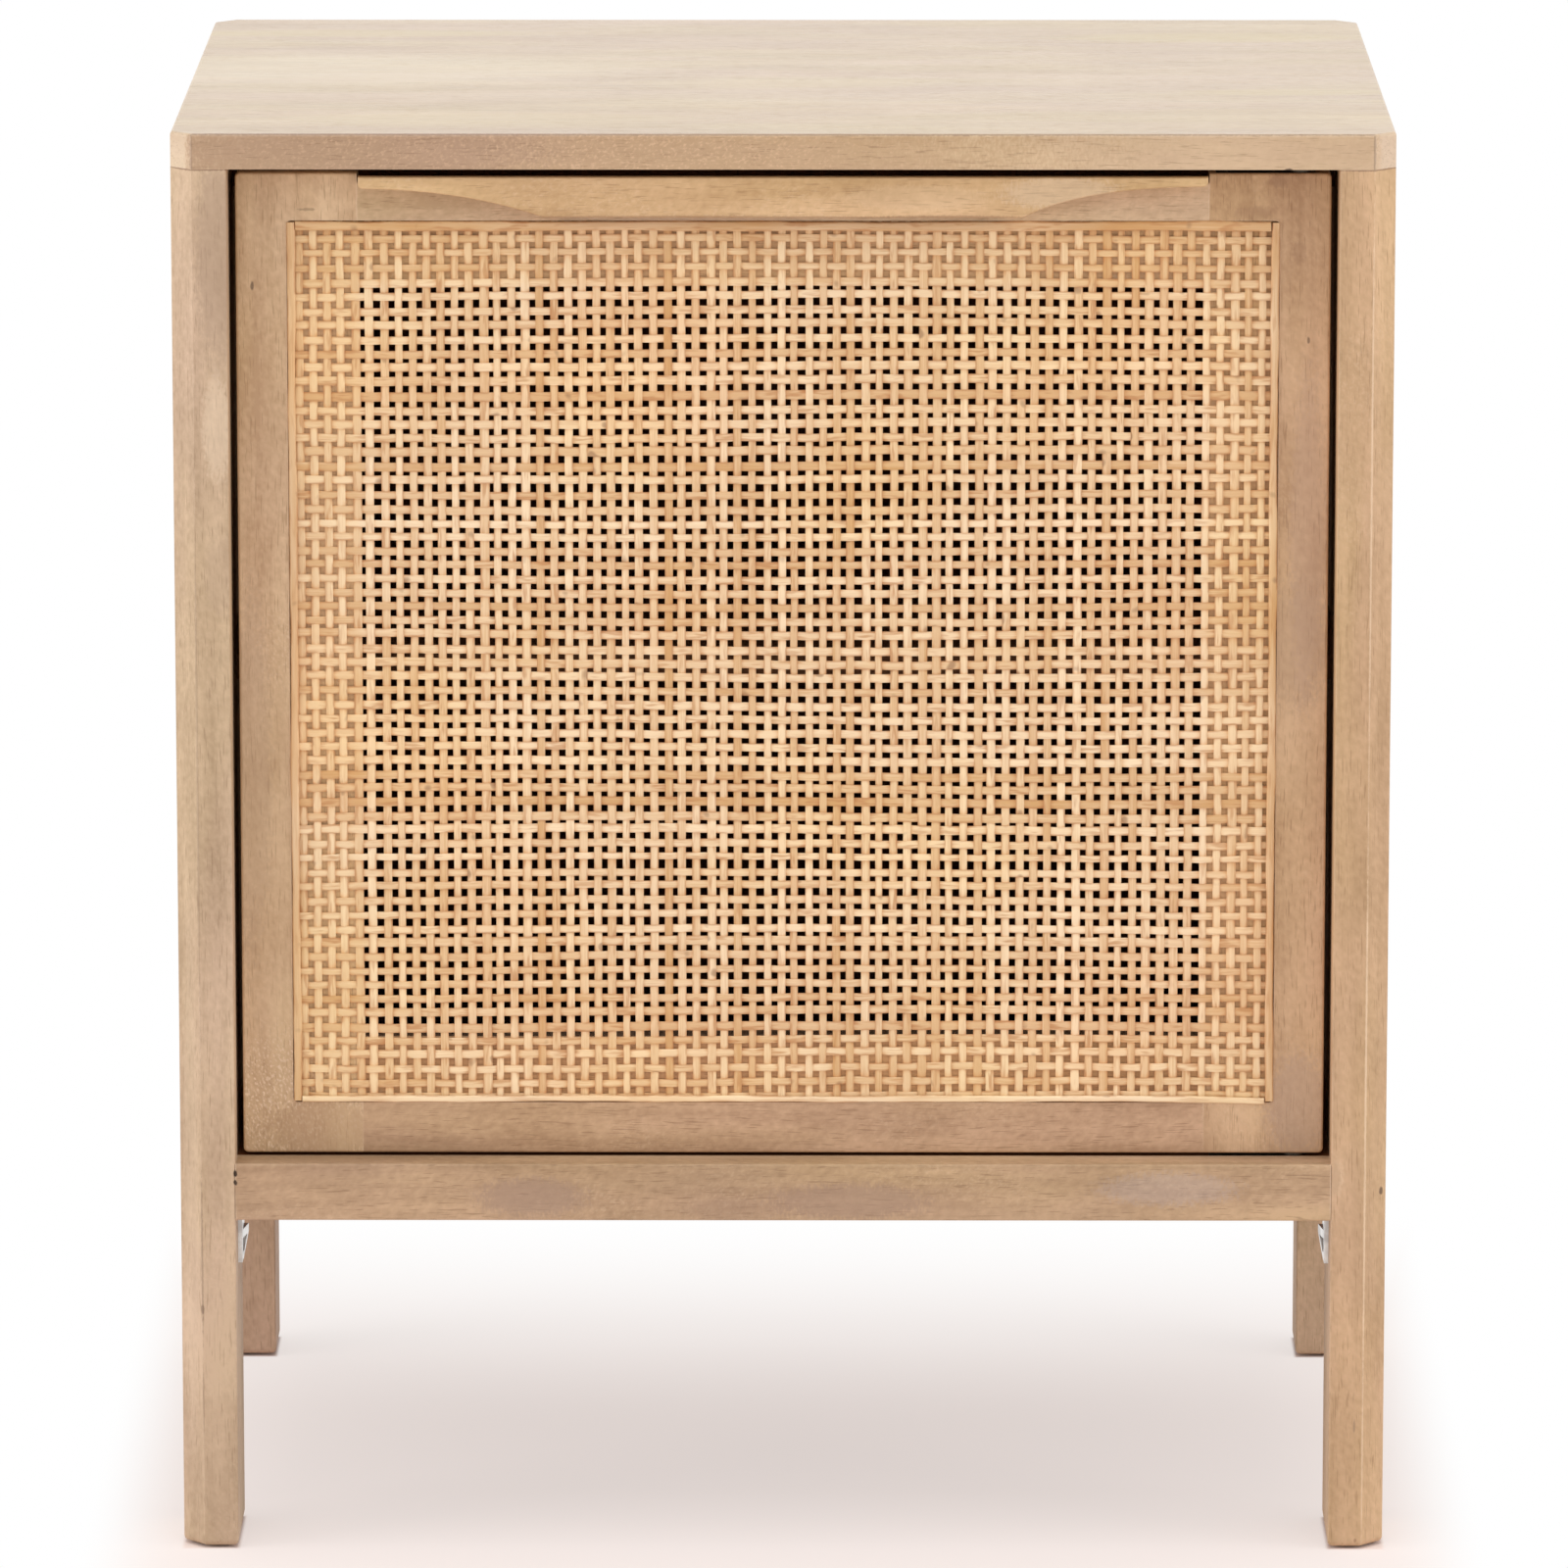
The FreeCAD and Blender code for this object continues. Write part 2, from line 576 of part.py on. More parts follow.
def save_legs():
    groove_end = TONGUE_LENGTH + TONGUE_END_GAP
    front_cutters = [tongue(FRONT_LEG_BACK - groove_end, FRONT_LEG_BACK, FIT)]
    front_cutters += [dowel_hole(place) for place in FRONT_RAIL_DOWELS + FRONT_LEG_DOWELS]
    front_cutters += screw_holes(FRONT_BRACKET_SCREWS)
    rebate = block(LEG_INNER - OVERCUT, LEG_INNER + BACK_REBATE, BACK_SEAT, BACK, CASE_BOTTOM, CASE_TOP)
    rear_cutters = [tongue(REAR_LEG_FRONT, REAR_LEG_FRONT + groove_end, FIT), rebate]
    rear_cutters += [dowel_hole(place) for place in REAR_RAIL_DOWELS + REAR_LEG_DOWELS]
    rear_cutters += screw_holes(REAR_BRACKET_SCREWS + BACK_SCREWS)
    front_leg, front_glide = leg(FRONT, FRONT_LEG_BACK, FRONT, front_cutters)
    rear_leg, rear_glide = leg(REAR_LEG_FRONT, BACK, BACK, rear_cutters)
    save_pair("front_leg", front_leg)
    save_pair("rear_leg", rear_leg)
    save("glides", both([front_glide, rear_glide]))
    save("leg_dowels", both([dowel(place) for place in FRONT_LEG_DOWELS + REAR_LEG_DOWELS]))
    save("rail_dowels", both([dowel(place) for place in FRONT_RAIL_DOWELS + REAR_RAIL_DOWELS]))


# Case panels, rails, cleats and shelf.


def pin_rows():
    """The two depths of the shelf pins, and their middle height when they carry the shelf."""
    depths = (FRONT_LEG_BACK + PIN_ROW_INSET, REAR_LEG_FRONT - PIN_ROW_INSET)
    return depths, SHELF_UNDERSIDE - PIN_RADIUS - FIT / 2


def side_panel():
    """The right side panel, tongued into both of its legs."""
    board = block(SIDE_INNER, SIDE_OUTER, FRONT_LEG_BACK, REAR_LEG_FRONT, CASE_BOTTOM, CASE_TOP)
    front_tongue = tongue(FRONT_LEG_BACK - TONGUE_LENGTH, FRONT_LEG_BACK, 0)
    rear_tongue = tongue(REAR_LEG_FRONT, REAR_LEG_FRONT + TONGUE_LENGTH, 0)
    depths, height = pin_rows()
    holes = screw_holes(BOTTOM_CLEAT_SCREWS + TOP_CLEAT_SCREWS)
    for y in depths:
        for step in PIN_ROW_STEPS:
            mouth = Vector(SIDE_INNER, y, height + step * PIN_ROW_PITCH)
            holes.append(rod(PIN_RADIUS + FIT / 2, mouth, RIGHTWARD, PIN_HOLE_DEPTH))
    return without(fused([board, front_tongue, rear_tongue]), holes)


def shelf_pins():
    depths, height = pin_rows()
    length = PIN_REACH + PIN_IN_SIDE
    return [rod(PIN_RADIUS, Vector(SIDE_INNER - PIN_REACH, y, height), RIGHTWARD, length) for y in depths]


def front_rail():
    rail = block(-LEG_INNER, LEG_INNER, FRONT, FRONT_RAIL_BACK, CASE_BOTTOM, RAIL_TOP)
    long_edges = arrises(rail, y=FRONT, z=RAIL_TOP) + arrises(rail, y=FRONT, z=CASE_BOTTOM)
    rail = rail.makeFillet(RAIL_ARRIS, long_edges)
    dowels = both([dowel_hole(place) for place in FRONT_RAIL_DOWELS])
    hinge = [leaf_seat(RAIL_TOP - LEAF_THICKNESS)] + screw_holes(BOTTOM_CASE_LEAF_SCREWS)
    return without(rail, dowels + hinge)


def rear_rail():
    rail = block(-LEG_INNER, LEG_INNER, REAR_RAIL_FRONT, BACK_SEAT, CASE_BOTTOM, RAIL_TOP)
    return without(rail, both([dowel_hole(place) for place in REAR_RAIL_DOWELS]) + screw_holes(BACK_SCREWS))


def rear_top_rail():
    low = CASE_TOP - REAR_TOP_RAIL_HEIGHT
    rail = block(-LEG_INNER, LEG_INNER, REAR_RAIL_FRONT, BACK_SEAT, low, CASE_TOP)
    return without(rail, screw_holes(TOP_RAIL_SCREWS + BACK_SCREWS))


def bottom_panel():
    """The case bottom, notched round the four legs."""
    board = block(-SIDE_INNER, SIDE_INNER, FRONT_RAIL_BACK, REAR_RAIL_FRONT, BOTTOM_UNDERSIDE, RAIL_TOP)
    notches = both([
        block(LEG_INNER, HALF, FRONT, FRONT_LEG_BACK, BOTTOM_UNDERSIDE, RAIL_TOP),
        block(LEG_INNER, HALF, REAR_LEG_FRONT, BACK, BOTTOM_UNDERSIDE, RAIL_TOP),
    ])
    paired = both(screw_holes(BOTTOM_CLEAT_SCREWS + FRONT_BRACKET_SCREWS + REAR_BRACKET_SCREWS))
    hinge = [leaf_seat(RAIL_TOP - LEAF_THICKNESS)] + screw_holes(BOTTOM_CASE_LEAF_SCREWS)
    return without(board, notches + paired + hinge)


def back_panel():
    edge = LEG_INNER + BACK_REBATE - BACK_EDGE_GAP
    low = CASE_BOTTOM + BACK_EDGE_GAP
    sheet = block(-edge, edge, BACK_SEAT, BACK - BACK_SETBACK, low, CASE_TOP - BACK_EDGE_GAP)
    return without(sheet, screw_holes(BACK_SCREWS))


def shelf():
    edge = SIDE_INNER - SHELF_EDGE_GAP
    front = FRONT_LEG_BACK + SHELF_FRONT_SETBACK
    top = SHELF_UNDERSIDE + SHELF_THICKNESS
    board = block(-edge, edge, front, REAR_LEG_FRONT - SHELF_EDGE_GAP, SHELF_UNDERSIDE, top)
    front_edges = arrises(board, y=front, z=top) + arrises(board, y=front, z=SHELF_UNDERSIDE)
    return board.makeFillet(SHELF_ARRIS, front_edges)


def cleat(low, high, screw_places):
    strip = block(SIDE_INNER - CLEAT_WIDTH, SIDE_INNER, CLEAT_FRONT, CLEAT_BACK, low, high)
    return without(strip, screw_holes(screw_places))


def save_case():
    save("top_panel", [top_panel()])
    save_legs()
    save_pair("side_panel", side_panel())
    save("front_rail", [front_rail()])
    save("rear_rail", [rear_rail()])
    save("rear_top_rail", [rear_top_rail()])
    save("bottom_panel", [bottom_panel()])
    save("back_panel", [back_panel()])
    save("shelf", [shelf()])
    save("shelf_pins", both(shelf_pins()))
    bottom_cleat_low = BOTTOM_UNDERSIDE - BOTTOM_CLEAT_HEIGHT
    save_pair("bottom_cleat", cleat(bottom_cleat_low, BOTTOM_UNDERSIDE, BOTTOM_CLEAT_SCREWS))
    save_pair("top_cleat", cleat(CASE_TOP - TOP_CLEAT_HEIGHT, CASE_TOP, TOP_CLEAT_SCREWS))
    save("cleat_screws", both(screws(BOTTOM_CLEAT_SCREWS + TOP_CLEAT_SCREWS)) + screws(TOP_RAIL_SCREWS))
    save("back_panel_screws", screws(BACK_SCREWS))


# Corner brackets.


def bracket_tab(front, low):
    """The tab at a bracket's lower end: its front strip lies on the leg, and the rest leans off it."""
    back = front + BRACKET_WIDTH
    bend = front + TAB_FLAT_WIDTH
    inside = LEG_INNER - BRACKET_THICKNESS
    tab = prism([
        Vector(LEG_INNER, front, low),
        Vector(LEG_INNER, bend, low),
        Vector(LEG_INNER - TAB_STAND_OFF, back, low),
        Vector(inside - TAB_STAND_OFF, back, low),
        Vector(inside, bend, low),
        Vector(inside, front, low),
    ], UPWARD * TAB_HEIGHT)
    start = inside - TAB_STAND_OFF - OVERCUT
    through = RIGHTWARD * (LEG_INNER + OVERCUT - start)
    slope = (BRACKET_WIDTH - TAB_TIP_WIDTH) / TAB_TAPER_HEIGHT

    def tapered(height, inset):
        """A point of the tapered rear edge, that far above the tip, or that far in front of the edge."""
        return Vector(start, front + TAB_TIP_WIDTH + slope * height - inset, low + height)

    below = Vector(start, back + slope * OVERCUT, low - OVERCUT)
    taper = prism([tapered(-OVERCUT, 0), below, tapered(TAB_TAPER_HEIGHT + OVERCUT, 0)], through)
    slot_top = TAB_SLOT_FROM_TIP + TAB_SLOT_HEIGHT
    slot = prism([
        Vector(start, bend, low + TAB_SLOT_FROM_TIP),
        tapered(TAB_SLOT_FROM_TIP, TAB_RIM),
        tapered(slot_top, TAB_RIM),
        Vector(start, bend, low + slot_top),
    ], through)
    return without(tab, [taper, slot])


def bracket(front):
    """A steel angle: one flange under the case bottom, and one down the leg that ends in a slotted tab."""
    back = front + BRACKET_WIDTH
    low = BOTTOM_UNDERSIDE - BRACKET_DROP
    down = block(LEG_INNER - BRACKET_THICKNESS, LEG_INNER, front, back, low + TAB_HEIGHT, BOTTOM_UNDERSIDE)
    under = BOTTOM_UNDERSIDE - BRACKET_THICKNESS
    foot = block(LEG_INNER - BRACKET_FOOT, LEG_INNER, front, back, under, BOTTOM_UNDERSIDE)
    plate = fused([down, foot, bracket_tab(front, low)])
    return without(plate, screw_holes(bracket_screw_places(front)))


def save_brackets():
    save_pair("front_bracket", bracket(FRONT_BRACKET))
    save_pair("rear_bracket", bracket(REAR_BRACKET))
    save("bracket_screws", both(screws(FRONT_BRACKET_SCREWS + REAR_BRACKET_SCREWS)))


# Door frame: two stiles that run the whole height, and two rails tenoned into them.


def cane_pocket(inset):
    """The recess for the cane panel with its round corners, or with an inset the space just inside it."""
    edge = CANE_EDGE - inset
    low = CANE_BOTTOM + inset
    high = CANE_TOP - inset
    pocket = block(-edge, edge, DOOR_FACE - BEAD_THICKNESS, CANE_BACK, low, high)
    corners = []
    for x in (-edge, edge):
        for z in (low, high):
            corners += arrises(pocket, x=x, z=z)
    return pocket.makeFillet(CANE_RECESS_CORNER, corners)


def tenon(rail_low, rail_high, low_shoulder, high_shoulder, play):
    """The right tenon of a rail, or with play the mortise for it."""
    middle = DOOR_FACE + DOOR_THICKNESS / 2
    half = TENON_THICKNESS / 2 + play
    reach = WINDOW_EDGE + TENON_LENGTH + play
    return block(WINDOW_EDGE, reach, middle - half, middle + half,
                 rail_low + low_shoulder - play, rail_high - high_shoulder + play)


def top_tenon(play):
    return tenon(WINDOW_TOP, DOOR_RAIL_TOP, TENON_INNER_SHOULDER, TENON_OUTER_SHOULDER, play)


def bottom_tenon(play):
    return tenon(DOOR_BOTTOM, WINDOW_BOTTOM, TENON_OUTER_SHOULDER, TENON_INNER_SHOULDER, play)


def stile():
    """The right stile before its hinges are let in."""
    bar = block(WINDOW_EDGE, DOOR_EDGE, DOOR_FACE, DOOR_BACK, DOOR_BOTTOM, DOOR_TOP)
    corners = arrises(bar, x=DOOR_EDGE, z=DOOR_TOP) + arrises(bar, x=DOOR_EDGE, z=DOOR_BOTTOM)
    bar = bar.makeFillet(DOOR_CORNER_RADIUS, corners)
    outline = [
        edge for edge in arrises(bar, y=DOOR_FACE)
        if edge.BoundBox.XMax > WINDOW_EDGE + TOLERANCE
    ]
    bar = bar.makeFillet(DOOR_ARRIS, outline)
    return without(bar, [cane_pocket(0), top_tenon(FIT), bottom_tenon(FIT)])


def door_rail(low, high, eased_height, right_tenon):
    """A rail between the stiles, with its outer front edge eased and a tenon at each end."""
    bar = block(-WINDOW_EDGE, WINDOW_EDGE, DOOR_FACE, DOOR_BACK, low, high)
    bar = bar.makeFillet(DOOR_ARRIS, arrises(bar, y=DOOR_FACE, z=eased_height))
    return without(fused([bar] + both([right_tenon])), [cane_pocket(0)])


def save_door_frame():
    slots = [leaf_slot(DOOR_TOP - LEAF_THICKNESS), leaf_slot(DOOR_BOTTOM)]
    hinge_holes = screw_holes(TOP_DOOR_LEAF_SCREWS + BOTTOM_DOOR_LEAF_SCREWS)
    save("door_stile_right", [without(stile(), slots + hinge_holes)])
    save("door_stile_left", [without(mirrored(stile()), screw_holes(STRIKE_SCREWS))])
    save("door_rail_top", [door_rail(WINDOW_TOP, DOOR_RAIL_TOP, DOOR_RAIL_TOP, top_tenon(0))])
    save("door_rail_bottom", [door_rail(DOOR_BOTTOM, WINDOW_BOTTOM, DOOR_BOTTOM, bottom_tenon(0))])


# Cane panel and bead.


def cane_panel():
    """The woven panel as a plain sheet of its own outline and thickness."""
    sheet = block(-CANE_EDGE, CANE_EDGE, CANE_FRONT, CANE_BACK, CANE_BOTTOM, CANE_TOP)
    return sheet.common(cane_pocket(CANE_EDGE_GAP))


def bead(x0, x1, z0, z1):
    """A strip of bead over the edge of the cane, with its front edges rounded."""
    face = CANE_FRONT - BEAD_THICKNESS
    strip = block(x0, x1, face, CANE_FRONT, z0, z1).common(cane_pocket(FIT))
    return strip.makeFillet(BEAD_ARRIS, arrises(strip, y=face))


def save_cane():
    side_low = CANE_BOTTOM + BEAD_END_GAP
    side_high = CANE_TOP - BEAD_END_GAP
    upright = bead(CANE_EDGE - SIDE_BEAD_WIDTH, CANE_EDGE - FIT, side_low, side_high)
    across = CANE_EDGE - SIDE_BEAD_WIDTH - FIT
    save("cane_panel", [cane_panel()])
    save_pair("bead", upright)
    save("bead_top", [bead(-across, across, CANE_TOP - TOP_BEAD_WIDTH, CANE_TOP - FIT)])
    save("bead_bottom", [bead(-across, across, CANE_BOTTOM + FIT, CANE_BOTTOM + BOTTOM_BEAD_WIDTH)])


# Pull.


def pull_outline():
    """The pull's front: thin at both ends, sweeping down to a straight middle."""
    face = DOOR_FACE - PULL_PROJECTION
    end = WINDOW_EDGE - PULL_END_GAP
    straight = PULL_STRAIGHT / 2
    low = DOOR_TOP - PULL_HEIGHT
    edges = [
        Part.makeLine(Vector(-end, face, DOOR_TOP), Vector(end, face, DOOR_TOP)),
        Part.makeLine(Vector(-straight, face, low), Vector(straight, face, low)),
    ]
    for side in (-1, 1):
        tip = DOOR_TOP - PULL_TIP_HEIGHTS[side]
        inner = Vector(side * straight, face, low)
        bend = Vector(side * (straight + PULL_SWEEP_BENDS[side]), face, tip)
        outer = Vector(side * end, face, tip)
        sweep = Part.BezierCurve()
        sweep.setPoles([inner, bend, outer])
        edges.append(sweep.toShape())
        edges.append(Part.makeLine(outer, Vector(side * end, face, DOOR_TOP)))
    return Part.Face(Part.Wire(Part.__sortEdges__(edges)))


def finger_groove():
    """The hollow under the pull's straight middle, with its far corners rounded."""
    front = DOOR_FACE - GROOVE_DEPTH
    half = GROOVE_LENGTH / 2
    roof = DOOR_RAIL_TOP - GROOVE_ROOF
    low = DOOR_TOP - PULL_HEIGHT - OVERCUT
    hollow = block(-half, half, front, DOOR_FACE + OVERCUT, low, roof)
    return hollow.makeFillet(GROOVE_RADIUS, arrises(hollow, y=front, z=roof))


def pull():
    """The pull, glued to the top rail above its finger groove and sloped back behind its crest."""
    face = DOOR_FACE - PULL_PROJECTION
    end = WINDOW_EDGE - PULL_END_GAP
    strip = pull_outline().extrude(REARWARD * PULL_PROJECTION)
    tips = []
    for side in (-1, 1):
        tips += arrises(strip, x=side * end, z=DOOR_TOP - PULL_TIP_HEIGHTS[side])
    strip = strip.makeFillet(PULL_TIP_RADIUS, tips)
    slope = [
        Vector(-end, face + PULL_CREST, DOOR_TOP),
        Vector(-end, DOOR_FACE, DOOR_TOP),
        Vector(-end, DOOR_FACE, DOOR_RAIL_TOP),
    ]
    strip = strip.cut(prism(slope, RIGHTWARD * (2 * end)))
    strip = strip.makeFillet(PULL_ARRIS, arrises(strip, y=face))
    return strip.cut(finger_groove())


# Magnetic catch and strike.


def catch_housing():
    half = CATCH_LENGTH / 2
    ear = half + CATCH_EAR_LENGTH
    back = CATCH_FRONT + CATCH_DEPTH
    low = CASE_TOP - CATCH_HEIGHT
    body = block(CATCH_X - half, CATCH_X + half, CATCH_FRONT, back, low, CASE_TOP)
    body = body.makeFillet(CATCH_ARRIS, arrises(body, z=low))
    ears = block(CATCH_X - ear, CATCH_X + ear, CATCH_FRONT, back, CASE_TOP - CATCH_EAR_THICKNESS, CASE_TOP)
    return without(fused([body, ears]), [magnet(FIT)] + screw_holes(CATCH_SCREWS))


def magnet(play):
    """The magnet, or with play the pocket that it sits in."""
    long_half = MAGNET_LENGTH / 2 + play
    high_half = MAGNET_HEIGHT / 2 + play
    front = CATCH_FRONT - MAGNET_PROUD
    return block(CATCH_X - long_half, CATCH_X + long_half, front, front + MAGNET_DEPTH + play,
                 CATCH_Z - high_half, CATCH_Z + high_half)


def strike():
    long_half = STRIKE_LENGTH / 2
    high_half = STRIKE_HEIGHT / 2
    plate = block(CATCH_X - long_half, CATCH_X + long_half, DOOR_BACK, DOOR_BACK + STRIKE_THICKNESS,
                  CATCH_Z - high_half, CATCH_Z + high_half)
    return without(plate, screw_holes(STRIKE_SCREWS))


def save_catch():
    save("catch_housing", [catch_housing()])
    save("catch_magnet", [magnet(0)])
    save("catch_strike", [strike()])
    save("catch_screws", screws(CATCH_SCREWS))
    save("strike_screw", screws(STRIKE_SCREWS))


os.makedirs("parts", exist_ok=True)
save_case()
save_brackets()
save_door_frame()
save_cane()
save("door_pull", [pull()])
save_hinges()
save_catch()
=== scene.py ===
import math

import bpy
import numpy as np
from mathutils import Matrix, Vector


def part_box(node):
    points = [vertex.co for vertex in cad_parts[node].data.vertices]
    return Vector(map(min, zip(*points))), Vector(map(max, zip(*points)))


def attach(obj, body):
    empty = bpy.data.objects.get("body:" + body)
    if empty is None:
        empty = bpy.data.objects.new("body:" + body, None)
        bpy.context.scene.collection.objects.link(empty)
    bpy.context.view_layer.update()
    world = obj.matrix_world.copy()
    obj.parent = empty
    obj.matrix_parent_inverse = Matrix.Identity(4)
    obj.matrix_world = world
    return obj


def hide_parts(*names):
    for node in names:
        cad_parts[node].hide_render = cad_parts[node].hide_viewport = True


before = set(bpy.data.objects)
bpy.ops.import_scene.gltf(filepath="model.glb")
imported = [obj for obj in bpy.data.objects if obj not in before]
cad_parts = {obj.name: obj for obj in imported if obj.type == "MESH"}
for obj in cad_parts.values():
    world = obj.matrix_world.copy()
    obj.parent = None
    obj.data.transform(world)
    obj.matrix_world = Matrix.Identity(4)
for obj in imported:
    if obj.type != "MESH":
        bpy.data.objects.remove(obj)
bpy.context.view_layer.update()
bpy.ops.object.select_all(action="DESELECT")


# Legs. Four straight posts of oiled hardwood, sawn square, each with its outer corner planed to a facet and
# its arrises eased by hand. They are dowelled up into the top, and the rails are dowelled between them.


def add(tree, kind, inputs=(), **settings):
    """A shader node of that kind. Each input is given a value, or is joined to another node's socket."""
    node = tree.nodes.new("ShaderNode" + kind)
    for name, value in settings.items():
        setattr(node, name, value)
    for key, value in dict(inputs).items():
        if isinstance(value, bpy.types.NodeSocket):
            tree.links.new(value, node.inputs[key])
        else:
            node.inputs[key].default_value = value
    return node


def calc(tree, operation, *values):
    """One Math node's result."""
    return add(tree, "Math", enumerate(values), operation=operation).outputs[0]


def vector_calc(tree, operation, *values):
    """One Vector Math node's vector."""
    return add(tree, "VectorMath", enumerate(values), operation=operation).outputs["Vector"]


def rise(tree, value, low, high):
    """0 below low, 1 above high, and an even curve between them."""
    inputs = {"Value": value, "From Min": low, "From Max": high}
    return add(tree, "MapRange", inputs, interpolation_type="SMOOTHSTEP").outputs["Result"]


def mix(tree, share, under, over, blend="MIX"):
    """One colour laid over another by that share."""
    inputs = {"Factor": share, 6: under, 7: over}
    return add(tree, "Mix", inputs, data_type="RGBA", blend_type=blend).outputs[2]


def push(tree, base, value, share):
    """base, moved by that share of how far value is from 0.5."""
    return calc(tree, "MULTIPLY_ADD", calc(tree, "SUBTRACT", value, 0.5), share, base)


def noise(tree, vector, stretch, detail=2.0, output=0):
    """Noise with that many features a metre along each axis, as a value, or as a colour from output "Color"."""
    point = vector_calc(tree, "MULTIPLY", vector, stretch)
    return add(tree, "TexNoise", {"Vector": point, "Scale": 1.0, "Detail": detail}).outputs[output]


def new_group(name, takes, gives):
    """An empty shader node group, and the sockets inside it that its inputs and outputs are joined to."""
    group = bpy.data.node_groups.new(name, "ShaderNodeTree")
    for label, kind in takes.items():
        group.interface.new_socket(label, in_out="INPUT", socket_type="NodeSocket" + kind)
    for label, kind in gives.items():
        group.interface.new_socket(label, in_out="OUTPUT", socket_type="NodeSocket" + kind)
    return group, group.nodes.new("NodeGroupInput").outputs, group.nodes.new("NodeGroupOutput").inputs


def oiled_wood_group():
    """Oiled hardwood with its grain along X: soft figure, fine streaks, pores, cross curl, end grain, and paler
    arrises that are partly handling and partly a painted highlight.
    """
    takes = {
        "Board": "Vector", "Normal": "Vector", "Grain": "Vector", "Dark": "Color", "Light": "Color",
        "Blush": "Color", "Blush Share": "Float", "Figure": "Float", "Streak": "Float", "Cloud": "Float",
        "Curl": "Float", "Fleck": "Float", "Flecked": "Float", "Wear And Highlight": "Float", "Roughness": "Float",
    }
    gives = {"Color": "Color", "Roughness": "Float", "Height": "Float"}
    group, take, give = new_group("oiled_wood", takes, gives)

    # The grain wanders a little from side to side along the board.
    drift = noise(group, take["Board"], (2.2, 9.0, 9.0), output="Color")
    drift = vector_calc(group, "SUBTRACT", drift, (0.5, 0.5, 0.5))
    drift = vector_calc(group, "MULTIPLY", drift, (0.0, 0.022, 0.022))
    flow = vector_calc(group, "ADD", take["Board"], drift)

    figure = noise(group, flow, (3.6, 46.0, 46.0), 3.0)
    streak = noise(group, flow, (11.0, 330.0, 330.0), 3.0)
    blotch = noise(group, take["Board"], (9.0, 15.0, 15.0))
    cloud = noise(group, take["Board"], (14.0, 38.0, 38.0), 4.0)
    slant = add(group, "Mapping", {"Vector": flow, "Rotation": (0.0, 0.35, 0.42)}).outputs["Vector"]
    curl = noise(group, slant, (230.0, 410.0, 410.0), 4.0)
    pore = rise(group, noise(group, flow, (95.0, 1700.0, 1700.0), 1.0), 0.60, 0.72)

    tone = push(group, 0.5, figure, take["Figure"])
    tone = push(group, tone, streak, take["Streak"])
    tone = push(group, tone, cloud, take["Cloud"])
    tone = push(group, tone, curl, take["Curl"])
    color = mix(group, tone, take["Dark"], take["Light"])
    blushed = calc(group, "MULTIPLY", rise(group, blotch, 0.42, 0.68), take["Blush Share"])
    color = mix(group, blushed, color, take["Blush"])
    warmth = rise(group, noise(group, flow, (5.0, 30.0, 30.0)), 0.32, 0.68)
    warmth = mix(group, warmth, (1.0, 0.98, 1.0, 1.0), (1.0, 1.005, 0.94, 1.0))
    color = mix(group, 1.0, color, warmth, "MULTIPLY")
    deep = mix(group, 1.0, take["Dark"], (0.66, 0.60, 0.54, 1.0), "MULTIPLY")
    color = mix(group, calc(group, "MULTIPLY", pore, 0.45), color, deep)

    # Where the fibres dive they catch the light as pale flecks, in patches.
    fleck = rise(group, noise(group, slant, (480.0, 950.0, 950.0)), 0.48, 0.72)
    flecked = rise(group, noise(group, take["Board"], (13.0, 24.0, 24.0)), 0.50, 0.68)
    flecked = calc(group, "MULTIPLY", flecked, 0.4)
    fleck = calc(group, "MULTIPLY", fleck, calc(group, "MAXIMUM", flecked, take["Flecked"]))
    color = mix(group, calc(group, "MULTIPLY", fleck, take["Fleck"]), color, (0.82, 0.64, 0.46, 1.0))

    # End grain shows where the surface faces along the grain, and drinks more oil.
    ends = add(group, "VectorMath", {0: take["Normal"], 1: take["Grain"]}, operation="DOT_PRODUCT").outputs["Value"]
    ends = rise(group, calc(group, "ABSOLUTE", ends), 0.80, 0.95)
    rings = noise(group, take["Board"], (420.0, 420.0, 130.0))
    ends_color = mix(group, rise(group, rings, 0.35, 0.65), deep, take["Dark"])
    color = mix(group, calc(group, "MULTIPLY", ends, 0.5), color, ends_color)

    # Handling and sanding leave the arrises paler, and the paler arrises are also a painted highlight where the light
    # catches the eased edges.
    rounded = add(group, "Bevel", {"Radius": 0.0011}, samples=4).outputs["Normal"]
    flat = add(group, "NewGeometry").outputs["Normal"]
    turn = add(group, "VectorMath", {0: rounded, 1: flat}, operation="DOT_PRODUCT").outputs["Value"]
    patchy = rise(group, noise(group, take["Board"], (35.0, 60.0, 60.0)), 0.34, 0.56)
    worn_and_lit = calc(group, "MULTIPLY", calc(group, "SUBTRACT", 1.0, rise(group, turn, 0.88, 0.99)), patchy)
    pale = mix(group, 0.45, take["Light"], (0.93, 0.80, 0.64, 1.0))
    color = mix(group, calc(group, "MULTIPLY", worn_and_lit, take["Wear And Highlight"]), color, pale)

    group.links.new(color, give["Color"])
    rough = calc(group, "MULTIPLY_ADD", streak, 0.16, take["Roughness"])
    group.links.new(calc(group, "MULTIPLY_ADD", pore, 0.10, rough), give["Roughness"])
    height = calc(group, "MULTIPLY_ADD", pore, -0.6, streak)
    group.links.new(calc(group, "MULTIPLY_ADD", cloud, 0.8, height), give["Height"])
    return group


